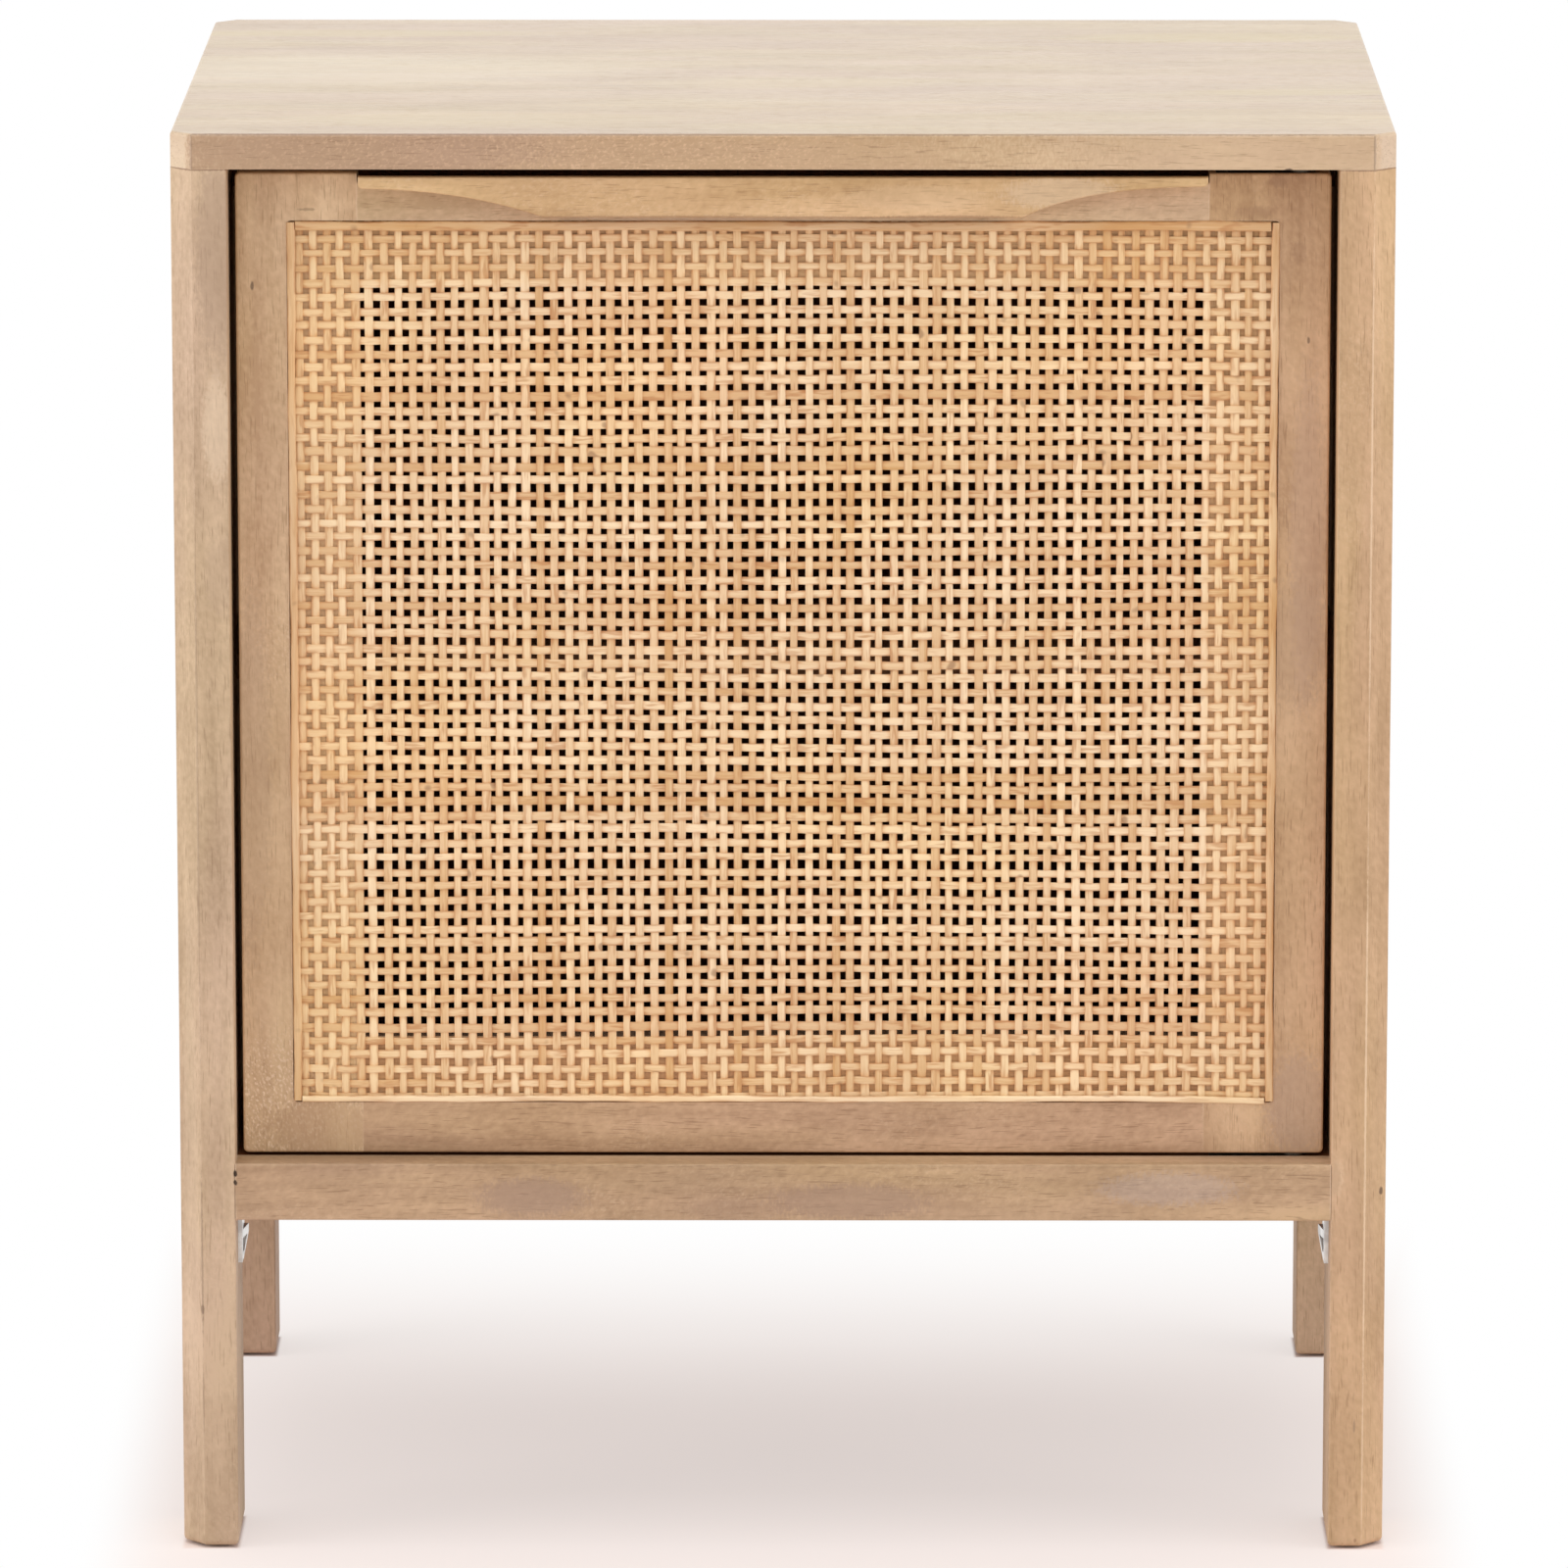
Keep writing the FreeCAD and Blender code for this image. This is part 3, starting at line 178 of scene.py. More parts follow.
def blemish_group():
    """A small spot with a ragged rim: 1 inside it, 0 outside."""
    takes = {"Vector": "Vector", "Centre": "Vector", "Radius": "Vector"}
    group, take, give = new_group("blemish", takes, {"Mask": "Float"})
    away = vector_calc(group, "SUBTRACT", take["Vector"], take["Centre"])
    away = vector_calc(group, "DIVIDE", away, take["Radius"])
    reach = add(group, "VectorMath", {0: away}, operation="LENGTH").outputs["Value"]
    ragged = noise(group, take["Vector"], (900.0, 900.0, 500.0))
    inside = calc(group, "SUBTRACT", 1.0, rise(group, push(group, reach, ragged, 0.9), 0.55, 1.05))
    group.links.new(inside, give["Mask"])
    return group


OILED_WOOD = oiled_wood_group()
BLEMISH = blemish_group()
QUARTER = math.pi / 2
# How a board's own grain is turned to run along X, and the way its ends face.
GRAIN_TURN = {"x": (0.0, 0.0, 0.0), "y": (0.0, 0.0, -QUARTER), "z": (0.0, QUARTER, 0.0)}
GRAIN_WAY = {"x": (1.0, 0.0, 0.0), "y": (0.0, 1.0, 0.0), "z": (0.0, 0.0, 1.0)}
BOARD_STEP = Vector((1.73, 0.61, 0.37))
boards_cut = 0


def blemish(tree, place, centre, radius):
    """The share of a spot at that place."""
    spot = {"Vector": place, "Centre": centre, "Radius": radius}
    return add(tree, "Group", spot, node_tree=BLEMISH).outputs["Mask"]


def new_material(name):
    """A material with nodes, and its node tree."""
    material = bpy.data.materials.new(name)
    material.use_nodes = True
    return material, material.node_tree


def surface(tree, color, roughness, height, strength, distance):
    """Joins a finish to the material's own shader, with its height as a bump, and gives the shader."""
    shader = tree.nodes["Principled BSDF"]
    bump = {"Height": height, "Strength": strength, "Distance": distance}
    tree.links.new(add(tree, "Bump", bump).outputs["Normal"], shader.inputs["Normal"])
    tree.links.new(color, shader.inputs["Base Color"])
    tree.links.new(roughness, shader.inputs["Roughness"])
    return shader


def wood(name, grain, dark, light, blush=(0.46, 0.32, 0.225), blush_share=0.18, figure=1.6, streak=0.5, cloud=1.6,
         curl=1.0, fleck=0.4, flecked=None, wear_and_highlight=0.5, roughness=0.5, gloss=0.3, tones=(), blemishes=()):
    """An oiled board, each one a new cut. A blemish is a spot's centre, radii, colour and strength. A tone is a
    wide patch's centre, radii and what the wood's colour is multiplied by there. Flecked is the centre and the
    radii of a patch full of flecks."""
    global boards_cut
    boards_cut += 1
    material, tree = new_material(name)
    place = add(tree, "TexCoord").outputs
    board = {"Vector": place["Object"], "Rotation": GRAIN_TURN[grain], "Location": BOARD_STEP * boards_cut}
    inputs = {
        "Board": add(tree, "Mapping", board).outputs["Vector"], "Normal": place["Normal"], "Grain": GRAIN_WAY[grain],
        "Dark": (*dark, 1.0), "Light": (*light, 1.0), "Blush": (*blush, 1.0), "Blush Share": blush_share,
        "Figure": figure, "Streak": streak, "Cloud": cloud, "Curl": curl, "Fleck": fleck, "Wear And Highlight": wear_and_highlight,
        "Roughness": roughness,
    }
    if flecked:
        inputs["Flecked"] = blemish(tree, place["Object"], *flecked)
    finish = add(tree, "Group", inputs, node_tree=OILED_WOOD).outputs
    color = finish["Color"]
    for centre, radius, tint in tones:
        color = mix(tree, blemish(tree, place["Object"], centre, radius), color, (*tint, 1.0), "MULTIPLY")
    for centre, radius, shade, strength in blemishes:
        share = calc(tree, "MULTIPLY", blemish(tree, place["Object"], centre, radius), strength)
        color = mix(tree, share, color, (*shade, 1.0))
    shader = surface(tree, color, finish["Roughness"], finish["Height"], 0.30, 0.0004)
    shader.inputs["Specular IOR Level"].default_value = gloss
    return material


def dress(material, *names):
    """Gives the frame's own pieces that finish."""
    for name in names:
        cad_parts[name].material_slots[0].material = material


KNOT = (0.11, 0.065, 0.04)
HAIRLINE = (0.26, 0.18, 0.125)
DARK_LINE = (0.23, 0.135, 0.085)
STAPLE_HOLE = (0.035, 0.018, 0.01)
SPOT = (0.30, 0.16, 0.09)
HEARTWOOD = (0.41, 0.29, 0.21)
SAPWOOD = (0.82, 0.67, 0.50)
PALE_LINE = (0.84, 0.65, 0.45)
FILLER = (0.47, 0.31, 0.19)
SLOT_SHADOW = (0.010, 0.006, 0.004)

leg_low, leg_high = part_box("front_leg_left")
front, leg_inner = leg_low.y, leg_high.x
FACET = 0.010
facet_line = leg_low.x + FACET
left_staples = [
    ((leg_inner, front, 0.1768), (0.0011, 0.002, 0.0019), STAPLE_HOLE, 0.95),
    ((leg_inner, front, 0.1727), (0.0010, 0.002, 0.0015), STAPLE_HOLE, 0.9),
]
left_marks = [
    ((leg_inner - 0.004, front, 0.60), (0.012, 0.006, 0.060), HEARTWOOD, 0.50),
    ((leg_inner - 0.005, front, 0.522), (0.008, 0.006, 0.028), SAPWOOD, 0.38),
    ((leg_low.x + 0.004, front + 0.004, 0.17), (0.006, 0.006, 0.16), SAPWOOD, 0.12),
    ((leg_inner - 0.004, front, 0.455), (0.009, 0.006, 0.022), HEARTWOOD, 0.25),
    ((leg_low.x + 0.013, front, 0.07), (0.030, 0.012, 0.100), HEARTWOOD, 0.15),
    ((facet_line, front, 0.113), (0.0009, 0.004, 0.0030), KNOT, 0.6),
    ((facet_line, front, 0.36), (0.0007, 0.003, 0.14), HAIRLINE, 0.30),
    ((facet_line, front, 0.135), (0.0006, 0.003, 0.045), HAIRLINE, 0.55),
    ((facet_line, front, 0.07), (0.0005, 0.003, 0.02), HAIRLINE, 0.4),
    # A black patch on the leg's inner face: painted shadow, seen through the bracket's slot.
    ((leg_inner, -0.160, 0.1372), (0.004, 0.022, 0.0045), SLOT_SHADOW, 1.0),
    # A fine dark line where the top sits on the leg: a painted shadow.
    ((leg_low.x + 0.012, front + 0.004, leg_high.z), (0.030, 0.014, 0.0009), DARK_LINE, 0.7),
]
arris = -facet_line
right_marks = [
    # Pale lines along the facet's edge: a painted highlight.
    ((arris, front, 0.20), (0.0006, 0.003, 0.15), PALE_LINE, 0.55),
    ((arris, front, 0.50), (0.0006, 0.003, 0.14), PALE_LINE, 0.45),
    ((arris, front, 0.04), (0.0005, 0.003, 0.035), PALE_LINE, 0.4),
    ((-leg_low.x - 0.0022, front + 0.008, 0.1675), (0.0011, 0.004, 0.0022), KNOT, 0.8),
    ((0.2531, front, 0.1753), (0.0036, 0.003, 0.0105), PALE_LINE, 0.30),
    ((0.2525, front, 0.1753), (0.0029, 0.003, 0.0092), FILLER, 0.55),
    ((0.2632, front, 0.0042), (0.0008, 0.003, 0.0012), SPOT, 0.6),
    ((0.2622, front, 0.0585), (0.0006, 0.003, 0.004), HAIRLINE, 0.5),
    # A black patch on the leg's inner face: painted shadow, seen through the bracket's slot.
    ((-leg_inner, -0.160, 0.1372), (0.004, 0.022, 0.0045), SLOT_SHADOW, 1.0),
    # A fine dark line where the top sits on the leg: a painted shadow.
    ((-leg_low.x - 0.012, front + 0.004, leg_high.z), (0.030, 0.014, 0.0009), DARK_LINE, 0.7),
]
dress(wood("leg_wood_front_left", "z", (0.42, 0.300, 0.195), (0.665, 0.503, 0.353), wear_and_highlight=0.3,
           blemishes=left_marks + left_staples), "front_leg_left")
dress(wood("leg_wood_front_right", "z", (0.45, 0.295, 0.162), (0.665, 0.455, 0.280), wear_and_highlight=0.75,
           blemishes=right_marks), "front_leg_right")
dress(wood("leg_wood_rear_left", "z", (0.42, 0.268, 0.176), (0.67, 0.462, 0.330), fleck=0.5), "rear_leg_left")
dress(wood("leg_wood_rear_right", "z", (0.485, 0.335, 0.200), (0.76, 0.555, 0.368), fleck=0.5), "rear_leg_right")


# Rails. Flat hardwood bars between the legs: one under the door, one low at the back, and one behind the
# back panel's upper edge. Each is dowelled and glued at both ends, and its long arrises are just broken.

PAINTED_SHEEN = (0.44, 0.37, 0.35)
rail_marks = [
    # A painted sheen: a greyish patch toward the right of the rail's face.
    ((0.176, front, 0.170), (0.038, 0.004, 0.009), PAINTED_SHEEN, 0.35),
    ((0.03, front, 0.164), (0.045, 0.004, 0.010), (0.35, 0.235, 0.170), 0.60),
    ((-0.115, front, 0.166), (0.030, 0.004, 0.011), (0.36, 0.245, 0.180), 0.60),
    ((-0.02, front, 0.160), (0.030, 0.004, 0.007), (0.36, 0.235, 0.160), 0.35),
]
dress(wood("front_rail_wood", "x", (0.35, 0.228, 0.132), (0.605, 0.420, 0.264), blush=(0.43, 0.295, 0.21),
           blush_share=0.25, figure=1.9, curl=0.9, wear_and_highlight=0.9, blemishes=rail_marks + left_staples), "front_rail")
dress(wood("rear_rail_wood", "x", (0.40, 0.255, 0.155), (0.57, 0.385, 0.25)), "rear_rail")
dress(wood("rear_top_rail_wood", "x", (0.14, 0.085, 0.05), (0.22, 0.14, 0.09)), "rear_top_rail")


# Side panels. Solid boards with the grain upright, tongued into the legs along both edges and oiled like them
# inside and out. Rows of blind holes inside take the shelf's pins.

dress(wood("side_wood_left", "z", (0.43, 0.285, 0.18), (0.62, 0.44, 0.295)), "side_panel_left")
dress(wood("side_wood_right", "z", (0.44, 0.29, 0.18), (0.63, 0.44, 0.29)), "side_panel_right")


# Inside boards. The bottom, the shelf and the cleats under and over them are dark brown, and so is the thin back
# panel: partly a stain and partly painted shade for the dark inside of the case. The bottom and the top are screwed
# to the cleats, and the shelf rests on four pins.

# The dark colour is partly painted shade, for the inside of the case seen through the cane.
stain = {
    "dark": (0.120, 0.042, 0.015), "light": (0.200, 0.075, 0.029), "blush": (0.16, 0.060, 0.022), "wear_and_highlight": 0.1,
    "fleck": 0.0, "gloss": 0.15,
}
dress(wood("bottom_wood", "x", **stain), "bottom_panel")
# The shelf is dark for the same painted shade.
dress(wood("shelf_wood", "x", (0.165, 0.073, 0.033), (0.260, 0.118, 0.056), blush=(0.21, 0.09, 0.042), fleck=0.1,
           gloss=0.15), "shelf")
dress(wood("back_wood", "z", **stain), "back_panel")
dress(wood("cleat_wood", "y", **stain),
      "bottom_cleat_left", "bottom_cleat_right", "top_cleat_left", "top_cleat_right")


# Dowels. Fluted pins of pale hardwood. They are glued into blind holes in the legs, the top and the rails, so
# none of them shows once it is together.

PALE_DARK = (0.60, 0.45, 0.29)
PALE_LIGHT = (0.76, 0.60, 0.42)
dress(wood("leg_dowel_wood", "z", PALE_DARK, PALE_LIGHT), "leg_dowels")
dress(wood("rail_dowel_wood", "x", PALE_DARK, PALE_LIGHT), "rail_dowels")


# Top. One slab of oiled hardwood with the grain along it, its four corners cut to the legs' facet. It lies on
# the legs, held by dowels from below and by screws through the cleats. A small chip marks its lower edge.

top_low, top_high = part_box("top_panel")
edge_middle = (top_low.z + top_high.z) / 2
OLIVE = (0.66, 0.53, 0.30)
PALE_PATCH = (0.80, 0.68, 0.50)
top_marks = [
    ((-0.215, 0.150, top_high.z), (0.110, 0.016, 0.01), OLIVE, 0.52),
    ((0.205, 0.135, top_high.z), (0.085, 0.022, 0.01), OLIVE, 0.52),
    ((0.235, -0.060, top_high.z), (0.060, 0.014, 0.01), OLIVE, 0.45),
    ((-0.130, -0.150, top_high.z), (0.120, 0.022, 0.01), OLIVE, 0.40),
    # A wide paler patch toward the left of the top face.
    ((-0.200, 0.020, top_high.z), (0.150, 0.060, 0.01), PALE_PATCH, 0.40),
    ((0.0, front, top_high.z), (0.60, 0.0020, 0.0009), DARK_LINE, 0.55),
    ((facet_line, front, edge_middle), (0.0006, 0.003, 0.012), HAIRLINE, 0.35),
    ((-facet_line, front, edge_middle), (0.0007, 0.003, 0.012), HAIRLINE, 0.55),
    ((0.2273, front, top_low.z), (0.0022, 0.003, 0.0009), KNOT, 0.9),
]
top_tones = [
    ((0.0, -0.150, top_high.z), (0.60, 0.065, 0.01), (0.98, 0.968, 0.92)),
    ((0.0, front, edge_middle), (0.70, 0.004, 0.03), (0.978, 0.93, 0.85)),
    ((-0.10, front, edge_middle), (0.26, 0.004, 0.03), (0.86, 0.80, 0.77)),
    ((-0.20, front, edge_middle), (0.11, 0.004, 0.03), (0.84, 0.82, 0.84)),
]
edge_flecks = ((-0.11, front, edge_middle), (0.17, 0.006, 0.03))
# The top's colours are bluer than the other boards', partly a painted reflection of the white studio in its oiled
# face.
dress(wood("top_wood", "x", (0.50, 0.369, 0.244), (0.74, 0.589, 0.426), blush=(0.57, 0.43, 0.33), blush_share=0.3,
           figure=0.8, streak=0.1, cloud=0.9, curl=0.6, fleck=0.65, flecked=edge_flecks, wear_and_highlight=0.15, roughness=0.22,
           gloss=0.5, tones=top_tones, blemishes=top_marks), "top_panel")


# Brackets, screws and pins. Pressed steel strips and countersunk screws, plated bright, with the faint
# cloudiness and fine scratches of cheap zinc. A tapered bracket stands inside each leg under the case.


def metal_group():
    """Plated or ground metal: cloudy patches and fine scratches in its colour, shine and surface."""
    takes = {"Vector": "Vector", "Base": "Color", "Dull": "Color", "Roughness": "Float"}
    gives = {"Color": "Color", "Roughness": "Float", "Height": "Float"}
    group, take, give = new_group("plated_metal", takes, gives)
    cloudy = noise(group, take["Vector"], (160.0, 160.0, 160.0), 3.0)
    scratch = noise(group, take["Vector"], (3500.0, 3500.0, 160.0))
    color = mix(group, rise(group, cloudy, 0.38, 0.66), take["Base"], take["Dull"])
    group.links.new(color, give["Color"])
    rough = calc(group, "MULTIPLY_ADD", cloudy, 0.18, take["Roughness"])
    group.links.new(calc(group, "MULTIPLY_ADD", scratch, 0.10, rough), give["Roughness"])
    group.links.new(scratch, give["Height"])
    return group


PLATED_METAL = metal_group()


def metal(name, base, dull, roughness):
    """A metal finish on Object coordinates."""
    material, tree = new_material(name)
    place = add(tree, "TexCoord").outputs["Object"]
    inputs = {"Vector": place, "Base": (*base, 1.0), "Dull": (*dull, 1.0), "Roughness": roughness}
    finish = add(tree, "Group", inputs, node_tree=PLATED_METAL).outputs
    shader = surface(tree, finish["Color"], finish["Roughness"], finish["Height"], 0.15, 0.0001)
    shader.inputs["Metallic"].default_value = 1.0
    return material


dress(metal("bright_zinc", (0.86, 0.85, 0.83), (0.62, 0.61, 0.60), 0.20),
      "front_bracket_left", "front_bracket_right", "rear_bracket_left", "rear_bracket_right")
dress(metal("screw_zinc", (0.66, 0.65, 0.62), (0.44, 0.43, 0.41), 0.26),
      "bracket_screws", "cleat_screws", "back_panel_screws", "shelf_pins")


# Glides. Black nylon buttons, each on a nail driven up into the foot, with the fine matt skin of a moulding. The
# catch's housing is moulded from the same nylon.


def moulded(name, dark, light):
    """Matt moulded nylon with a fine grained skin."""
    material, tree = new_material(name)
    place = add(tree, "TexCoord").outputs["Object"]
    skin = noise(tree, place, (2600.0, 2600.0, 2600.0))
    scuffs = noise(tree, place, (240.0, 240.0, 240.0), 3.0)
    color = mix(tree, rise(tree, scuffs, 0.45, 0.7), (*dark, 1.0), (*light, 1.0))
    surface(tree, color, calc(tree, "MULTIPLY_ADD", scuffs, 0.25, 0.45), skin, 0.2, 0.0001)
    return material


dress(moulded("black_nylon", (0.012, 0.012, 0.012), (0.035, 0.034, 0.033)), "glides", "catch_housing")


# Door frame. Two full-height stiles and two rails between them, tenoned and glued, with a shallow recess cut
# round the opening for the cane. The stiles' joint lines show faintly, and the lower corners are rubbed.

stile_low, stile_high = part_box("door_stile_left")
door_face = stile_low.y
cane_low, cane_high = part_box("cane_panel")
# The edges of the frame's lips, which the mesh is glued to all round.
LIP_SIDE = -stile_high.x
LIP_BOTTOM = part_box("door_rail_bottom")[1].z
LIP_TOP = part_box("door_rail_top")[0].z
# Glue has turned the lips' faces yellower, and darkened those of the rails.
GLUE_UPRIGHT = (0.022, 0.0016, 0.55)
GLUE_ACROSS = (0.55, 0.0016, 0.022)
glue_x = (cane_high.x + LIP_SIDE) / 2
glue_middle = (cane_low.z + cane_high.z) / 2
left_glue = [((-glue_x, cane_high.y, glue_middle), GLUE_UPRIGHT, (1.13, 1.05, 0.89))]
right_glue = [((glue_x, cane_high.y, glue_middle), GLUE_UPRIGHT, (1.06, 0.98, 0.81))]
top_glue = [((0.0, cane_high.y, (LIP_TOP + cane_high.z) / 2), GLUE_ACROSS, (1.02, 0.88, 0.70))]
bottom_glue = [((0.0, cane_high.y, (LIP_BOTTOM + cane_low.z) / 2), GLUE_ACROSS, (1.03, 0.88, 0.67))]
BROWN = (0.33, 0.19, 0.11)
stile_left_marks = [
    ((-0.2400, door_face, 0.5845), (0.0009, 0.003, 0.0022), KNOT, 0.7),
    ((-0.2149, door_face, 0.6194), (0.0050, 0.003, 0.0008), KNOT, 0.35),
    ((-0.243, door_face, 0.36), (0.012, 0.004, 0.10), HEARTWOOD, 0.30),
    ((-0.205, door_face, 0.430), (0.016, 0.004, 0.022), (0.45, 0.305, 0.19), 0.35),
    ((-0.222, door_face, 0.300), (0.034, 0.004, 0.140), (0.46, 0.30, 0.18), 0.25),
    ((-0.210, door_face, 0.194), (0.034, 0.004, 0.018), (0.425, 0.262, 0.145), 0.62),
]
stile_right_marks = [
    ((0.2375, door_face, 0.5600), (0.0009, 0.003, 0.0018), KNOT, 0.65),
    ((0.2236, door_face, 0.6324), (0.0060, 0.003, 0.0035), BROWN, 0.45),
    ((0.2130, door_face, 0.6180), (0.0110, 0.003, 0.0040), BROWN, 0.35),
    ((0.2330, door_face, 0.6000), (0.0040, 0.003, 0.0060), BROWN, 0.30),
    ((0.2330, door_face, 0.4200), (0.0200, 0.004, 0.0350), (0.40, 0.27, 0.18), 0.35),
    ((0.236, door_face, 0.205), (0.018, 0.004, 0.030), (0.44, 0.31, 0.245), 0.45),
    ((0.238, door_face, 0.47), (0.010, 0.004, 0.09), (0.47, 0.32, 0.24), 0.35),
]
worm_flecks = ((-0.226, door_face, 0.207), (0.038, 0.006, 0.042))
dress(wood("stile_wood_left", "z", (0.525, 0.352, 0.208), (0.795, 0.598, 0.386), blush_share=0.1, fleck=0.95,
           flecked=worm_flecks, tones=left_glue, blemishes=stile_left_marks), "door_stile_left")
dress(wood("stile_wood_right", "z", (0.46, 0.285, 0.160), (0.70, 0.482, 0.298), blush_share=0.15,
           tones=right_glue, blemishes=stile_right_marks), "door_stile_right")
dress(wood("door_rail_wood_top", "x", (0.52, 0.370, 0.228), (0.81, 0.62, 0.415), blush_share=0.1, figure=0.9,
           tones=top_glue), "door_rail_top")
dress(wood("door_rail_wood_bottom", "x", (0.405, 0.252, 0.148), (0.66, 0.445, 0.286), blush_share=0.12,
           tones=bottom_glue), "door_rail_bottom")


# Cane. Flat strips of split rattan, woven one over and one under into an open square mesh. The strips differ
# in width, tone and spacing, because they are cut and drawn by hand. The mesh is glued in the frame's recess.

MIDDLE = (cane_low.y + cane_high.y) / 2
UPRIGHTS = 69
CROSSINGS = 62
UPRIGHT_PITCH = 0.00641
CROSSING_PITCH = 0.006484
FIRST_CROSSING = cane_low.z + 0.0030    # the lowest one's height
STRIP_WIDTH = 0.00364
STRIP_THICKNESS = 0.00080
STRIP_CUTS = 100                        # across each strip, the most that one subdivide makes
LIFT = 0.00043                          # how far a strip stands off the mesh's middle where it crosses
MESH_ASIDE = 0.0011                     # the mesh was glued in a little to the left
# How far neighbours sag together, over what length, and over how many strips.
SAG, SAG_LENGTH, SAG_STRIPS = 0.0007, 0.52, 47.0
# How far a strip leans to one side and the other, over what length, and how that shifts from strip to strip.
ROLL, ROLL_LENGTH, ROLL_STEP = 0.055, 0.031, 1.7
rng = np.random.default_rng(23)


def uneven(count, spread, limit=2.0):
    """Small differences from one strip to the next, none of them wild."""
    return np.clip(rng.normal(0.0, 1.0, count), -limit, limit) * spread


def waver(count, lengths, spread):
    """Slow side-to-side drift along each strip: a sum of long waves, as numbers for drift()."""
    return [(length, uneven(count, spread), rng.uniform(0.0, math.tau, count)) for length in lengths]


def drift(waves, strip, along):
    """How far to the side a strip has drifted at that place along it."""
    return sum(size[strip] * np.sin(math.tau * along / length + start[strip]) for length, size, start in waves)


upright_home = (np.arange(UPRIGHTS) - (UPRIGHTS - 1) / 2) * UPRIGHT_PITCH + uneven(UPRIGHTS, 0.00026)
upright_home -= MESH_ASIDE
crossing_home = FIRST_CROSSING + np.arange(CROSSINGS) * CROSSING_PITCH + uneven(CROSSINGS, 0.00034)
upright_width = STRIP_WIDTH + uneven(UPRIGHTS, 0.00026)
crossing_width = STRIP_WIDTH + uneven(CROSSINGS, 0.00028)
upright_waver = waver(UPRIGHTS, (0.33, 0.14, 0.045), 0.00008)
crossing_waver = waver(CROSSINGS, (0.38, 0.17, 0.05), 0.00013)


def upright_at(strip, height):
    """How far across the panel an upright is at that height."""
    return upright_home[strip] + drift(upright_waver, strip, height)


def crossing_at(strip, across):
    """How high a crossing strip is there. Neighbours sag together a little, as the mesh was pulled."""
    together = SAG * np.sin(math.tau * (across / SAG_LENGTH + strip / SAG_STRIPS))
    return crossing_home[strip] + drift(crossing_waver, strip, across) + together


GLUE_FADE = 0.002


def cane_skin_group():
    """Split cane: fine fibres along the strip, slow changes of tone, rusty stains, dark edges that are partly painted
    shade, painted shade where a strip dives under another, and a little yellower where it is glued down."""
    takes = {"Strip": "Vector", "Tint": "Vector", "Place": "Vector", "Glued": "Float"}
    gives = {"Color": "Color", "Roughness": "Float", "Height": "Float"}
    group, take, give = new_group("cane_skin", takes, gives)
    strip = add(group, "SeparateXYZ", {0: take["Strip"]}).outputs
    place = add(group, "SeparateXYZ", {0: take["Place"]}).outputs
    tint = add(group, "SeparateXYZ", {0: take["Tint"]}).outputs
    side = calc(group, "ABSOLUTE", strip["X"])

    fibre = noise(group, take["Strip"], (4.5, 30.0, 3.1), 3.0)
    patch = noise(group, take["Strip"], (0.35, 22.0, 3.1))
    panel = noise(group, take["Place"], (5.0, 5.0, 11.0))
    stain = noise(group, take["Strip"], (0.8, 62.0, 7.7))
    stain = calc(group, "MULTIPLY", rise(group, stain, 0.54, 0.70), tint["Z"])
    # Dark edges along the strips: partly the cane's own, partly painted shade beside the crossings.
    rim = noise(group, take["Strip"], (0.5, 75.0, 5.3))
    rim = calc(group, "MULTIPLY", rise(group, side, 0.46, 0.96), rise(group, rim, 0.40, 0.60))
    joint = rise(group, noise(group, take["Strip"], (0.25, 95.0, 9.1), 1.0), 0.70, 0.80)
    gold = rise(group, noise(group, take["Place"], (8.5, 5.0, 10.0)), 0.44, 0.66)
    elsewhere = vector_calc(group, "ADD", take["Place"], (3.1, 0.0, 1.7))
    rose = rise(group, noise(group, elsewhere, (6.5, 5.0, 9.0)), 0.46, 0.68)
    # Where a strip dives behind the mesh's middle it is darker: painted shade.
    dive_shade = rise(group, place["Y"], MIDDLE - 0.00045, MIDDLE + 0.00015)
    aside = calc(group, "SUBTRACT", calc(group, "ABSOLUTE", place["X"]), LIP_SIDE)
    above = calc(group, "SUBTRACT", place["Z"], LIP_TOP)
    below = calc(group, "SUBTRACT", LIP_BOTTOM, place["Z"])
    past_lip = calc(group, "MAXIMUM", aside, calc(group, "MAXIMUM", above, below))
    glued = calc(group, "MULTIPLY", rise(group, past_lip, -GLUE_FADE, GLUE_FADE), take["Glued"])

    tone = push(group, tint["X"], patch, 1.3)
    tone = push(group, tone, fibre, 0.8)
    tone = push(group, tone, panel, 0.9)
    color = mix(group, tone, (0.64, 0.372, 0.155, 1.0), (0.95, 0.755, 0.51, 1.0))
    color = mix(group, tint["Y"], color, (0.71, 0.46, 0.24, 1.0))
    color = mix(group, calc(group, "MULTIPLY", gold, 0.55), color, (1.0, 0.955, 0.78, 1.0), "MULTIPLY")
    color = mix(group, calc(group, "MULTIPLY", rose, 0.65), color, (1.0, 0.92, 0.86, 1.0), "MULTIPLY")
    color = mix(group, calc(group, "MULTIPLY", stain, 0.75), color, (0.52, 0.235, 0.085, 1.0))
    color = mix(group, calc(group, "MULTIPLY", rim, 0.65), color, (0.50, 0.225, 0.085, 1.0))
    color = mix(group, calc(group, "MULTIPLY", joint, 0.65), color, (0.30, 0.145, 0.065, 1.0))
    color = mix(group, calc(group, "MULTIPLY", dive_shade, 0.65), color, (0.88, 0.67, 0.47, 1.0), "MULTIPLY")
    color = mix(group, glued, color, (1.0, 0.985, 0.93, 1.0), "MULTIPLY")
    group.links.new(color, give["Color"])
    group.links.new(calc(group, "MULTIPLY_ADD", fibre, 0.20, 0.38), give["Roughness"])
    group.links.new(fibre, give["Height"])
    return group


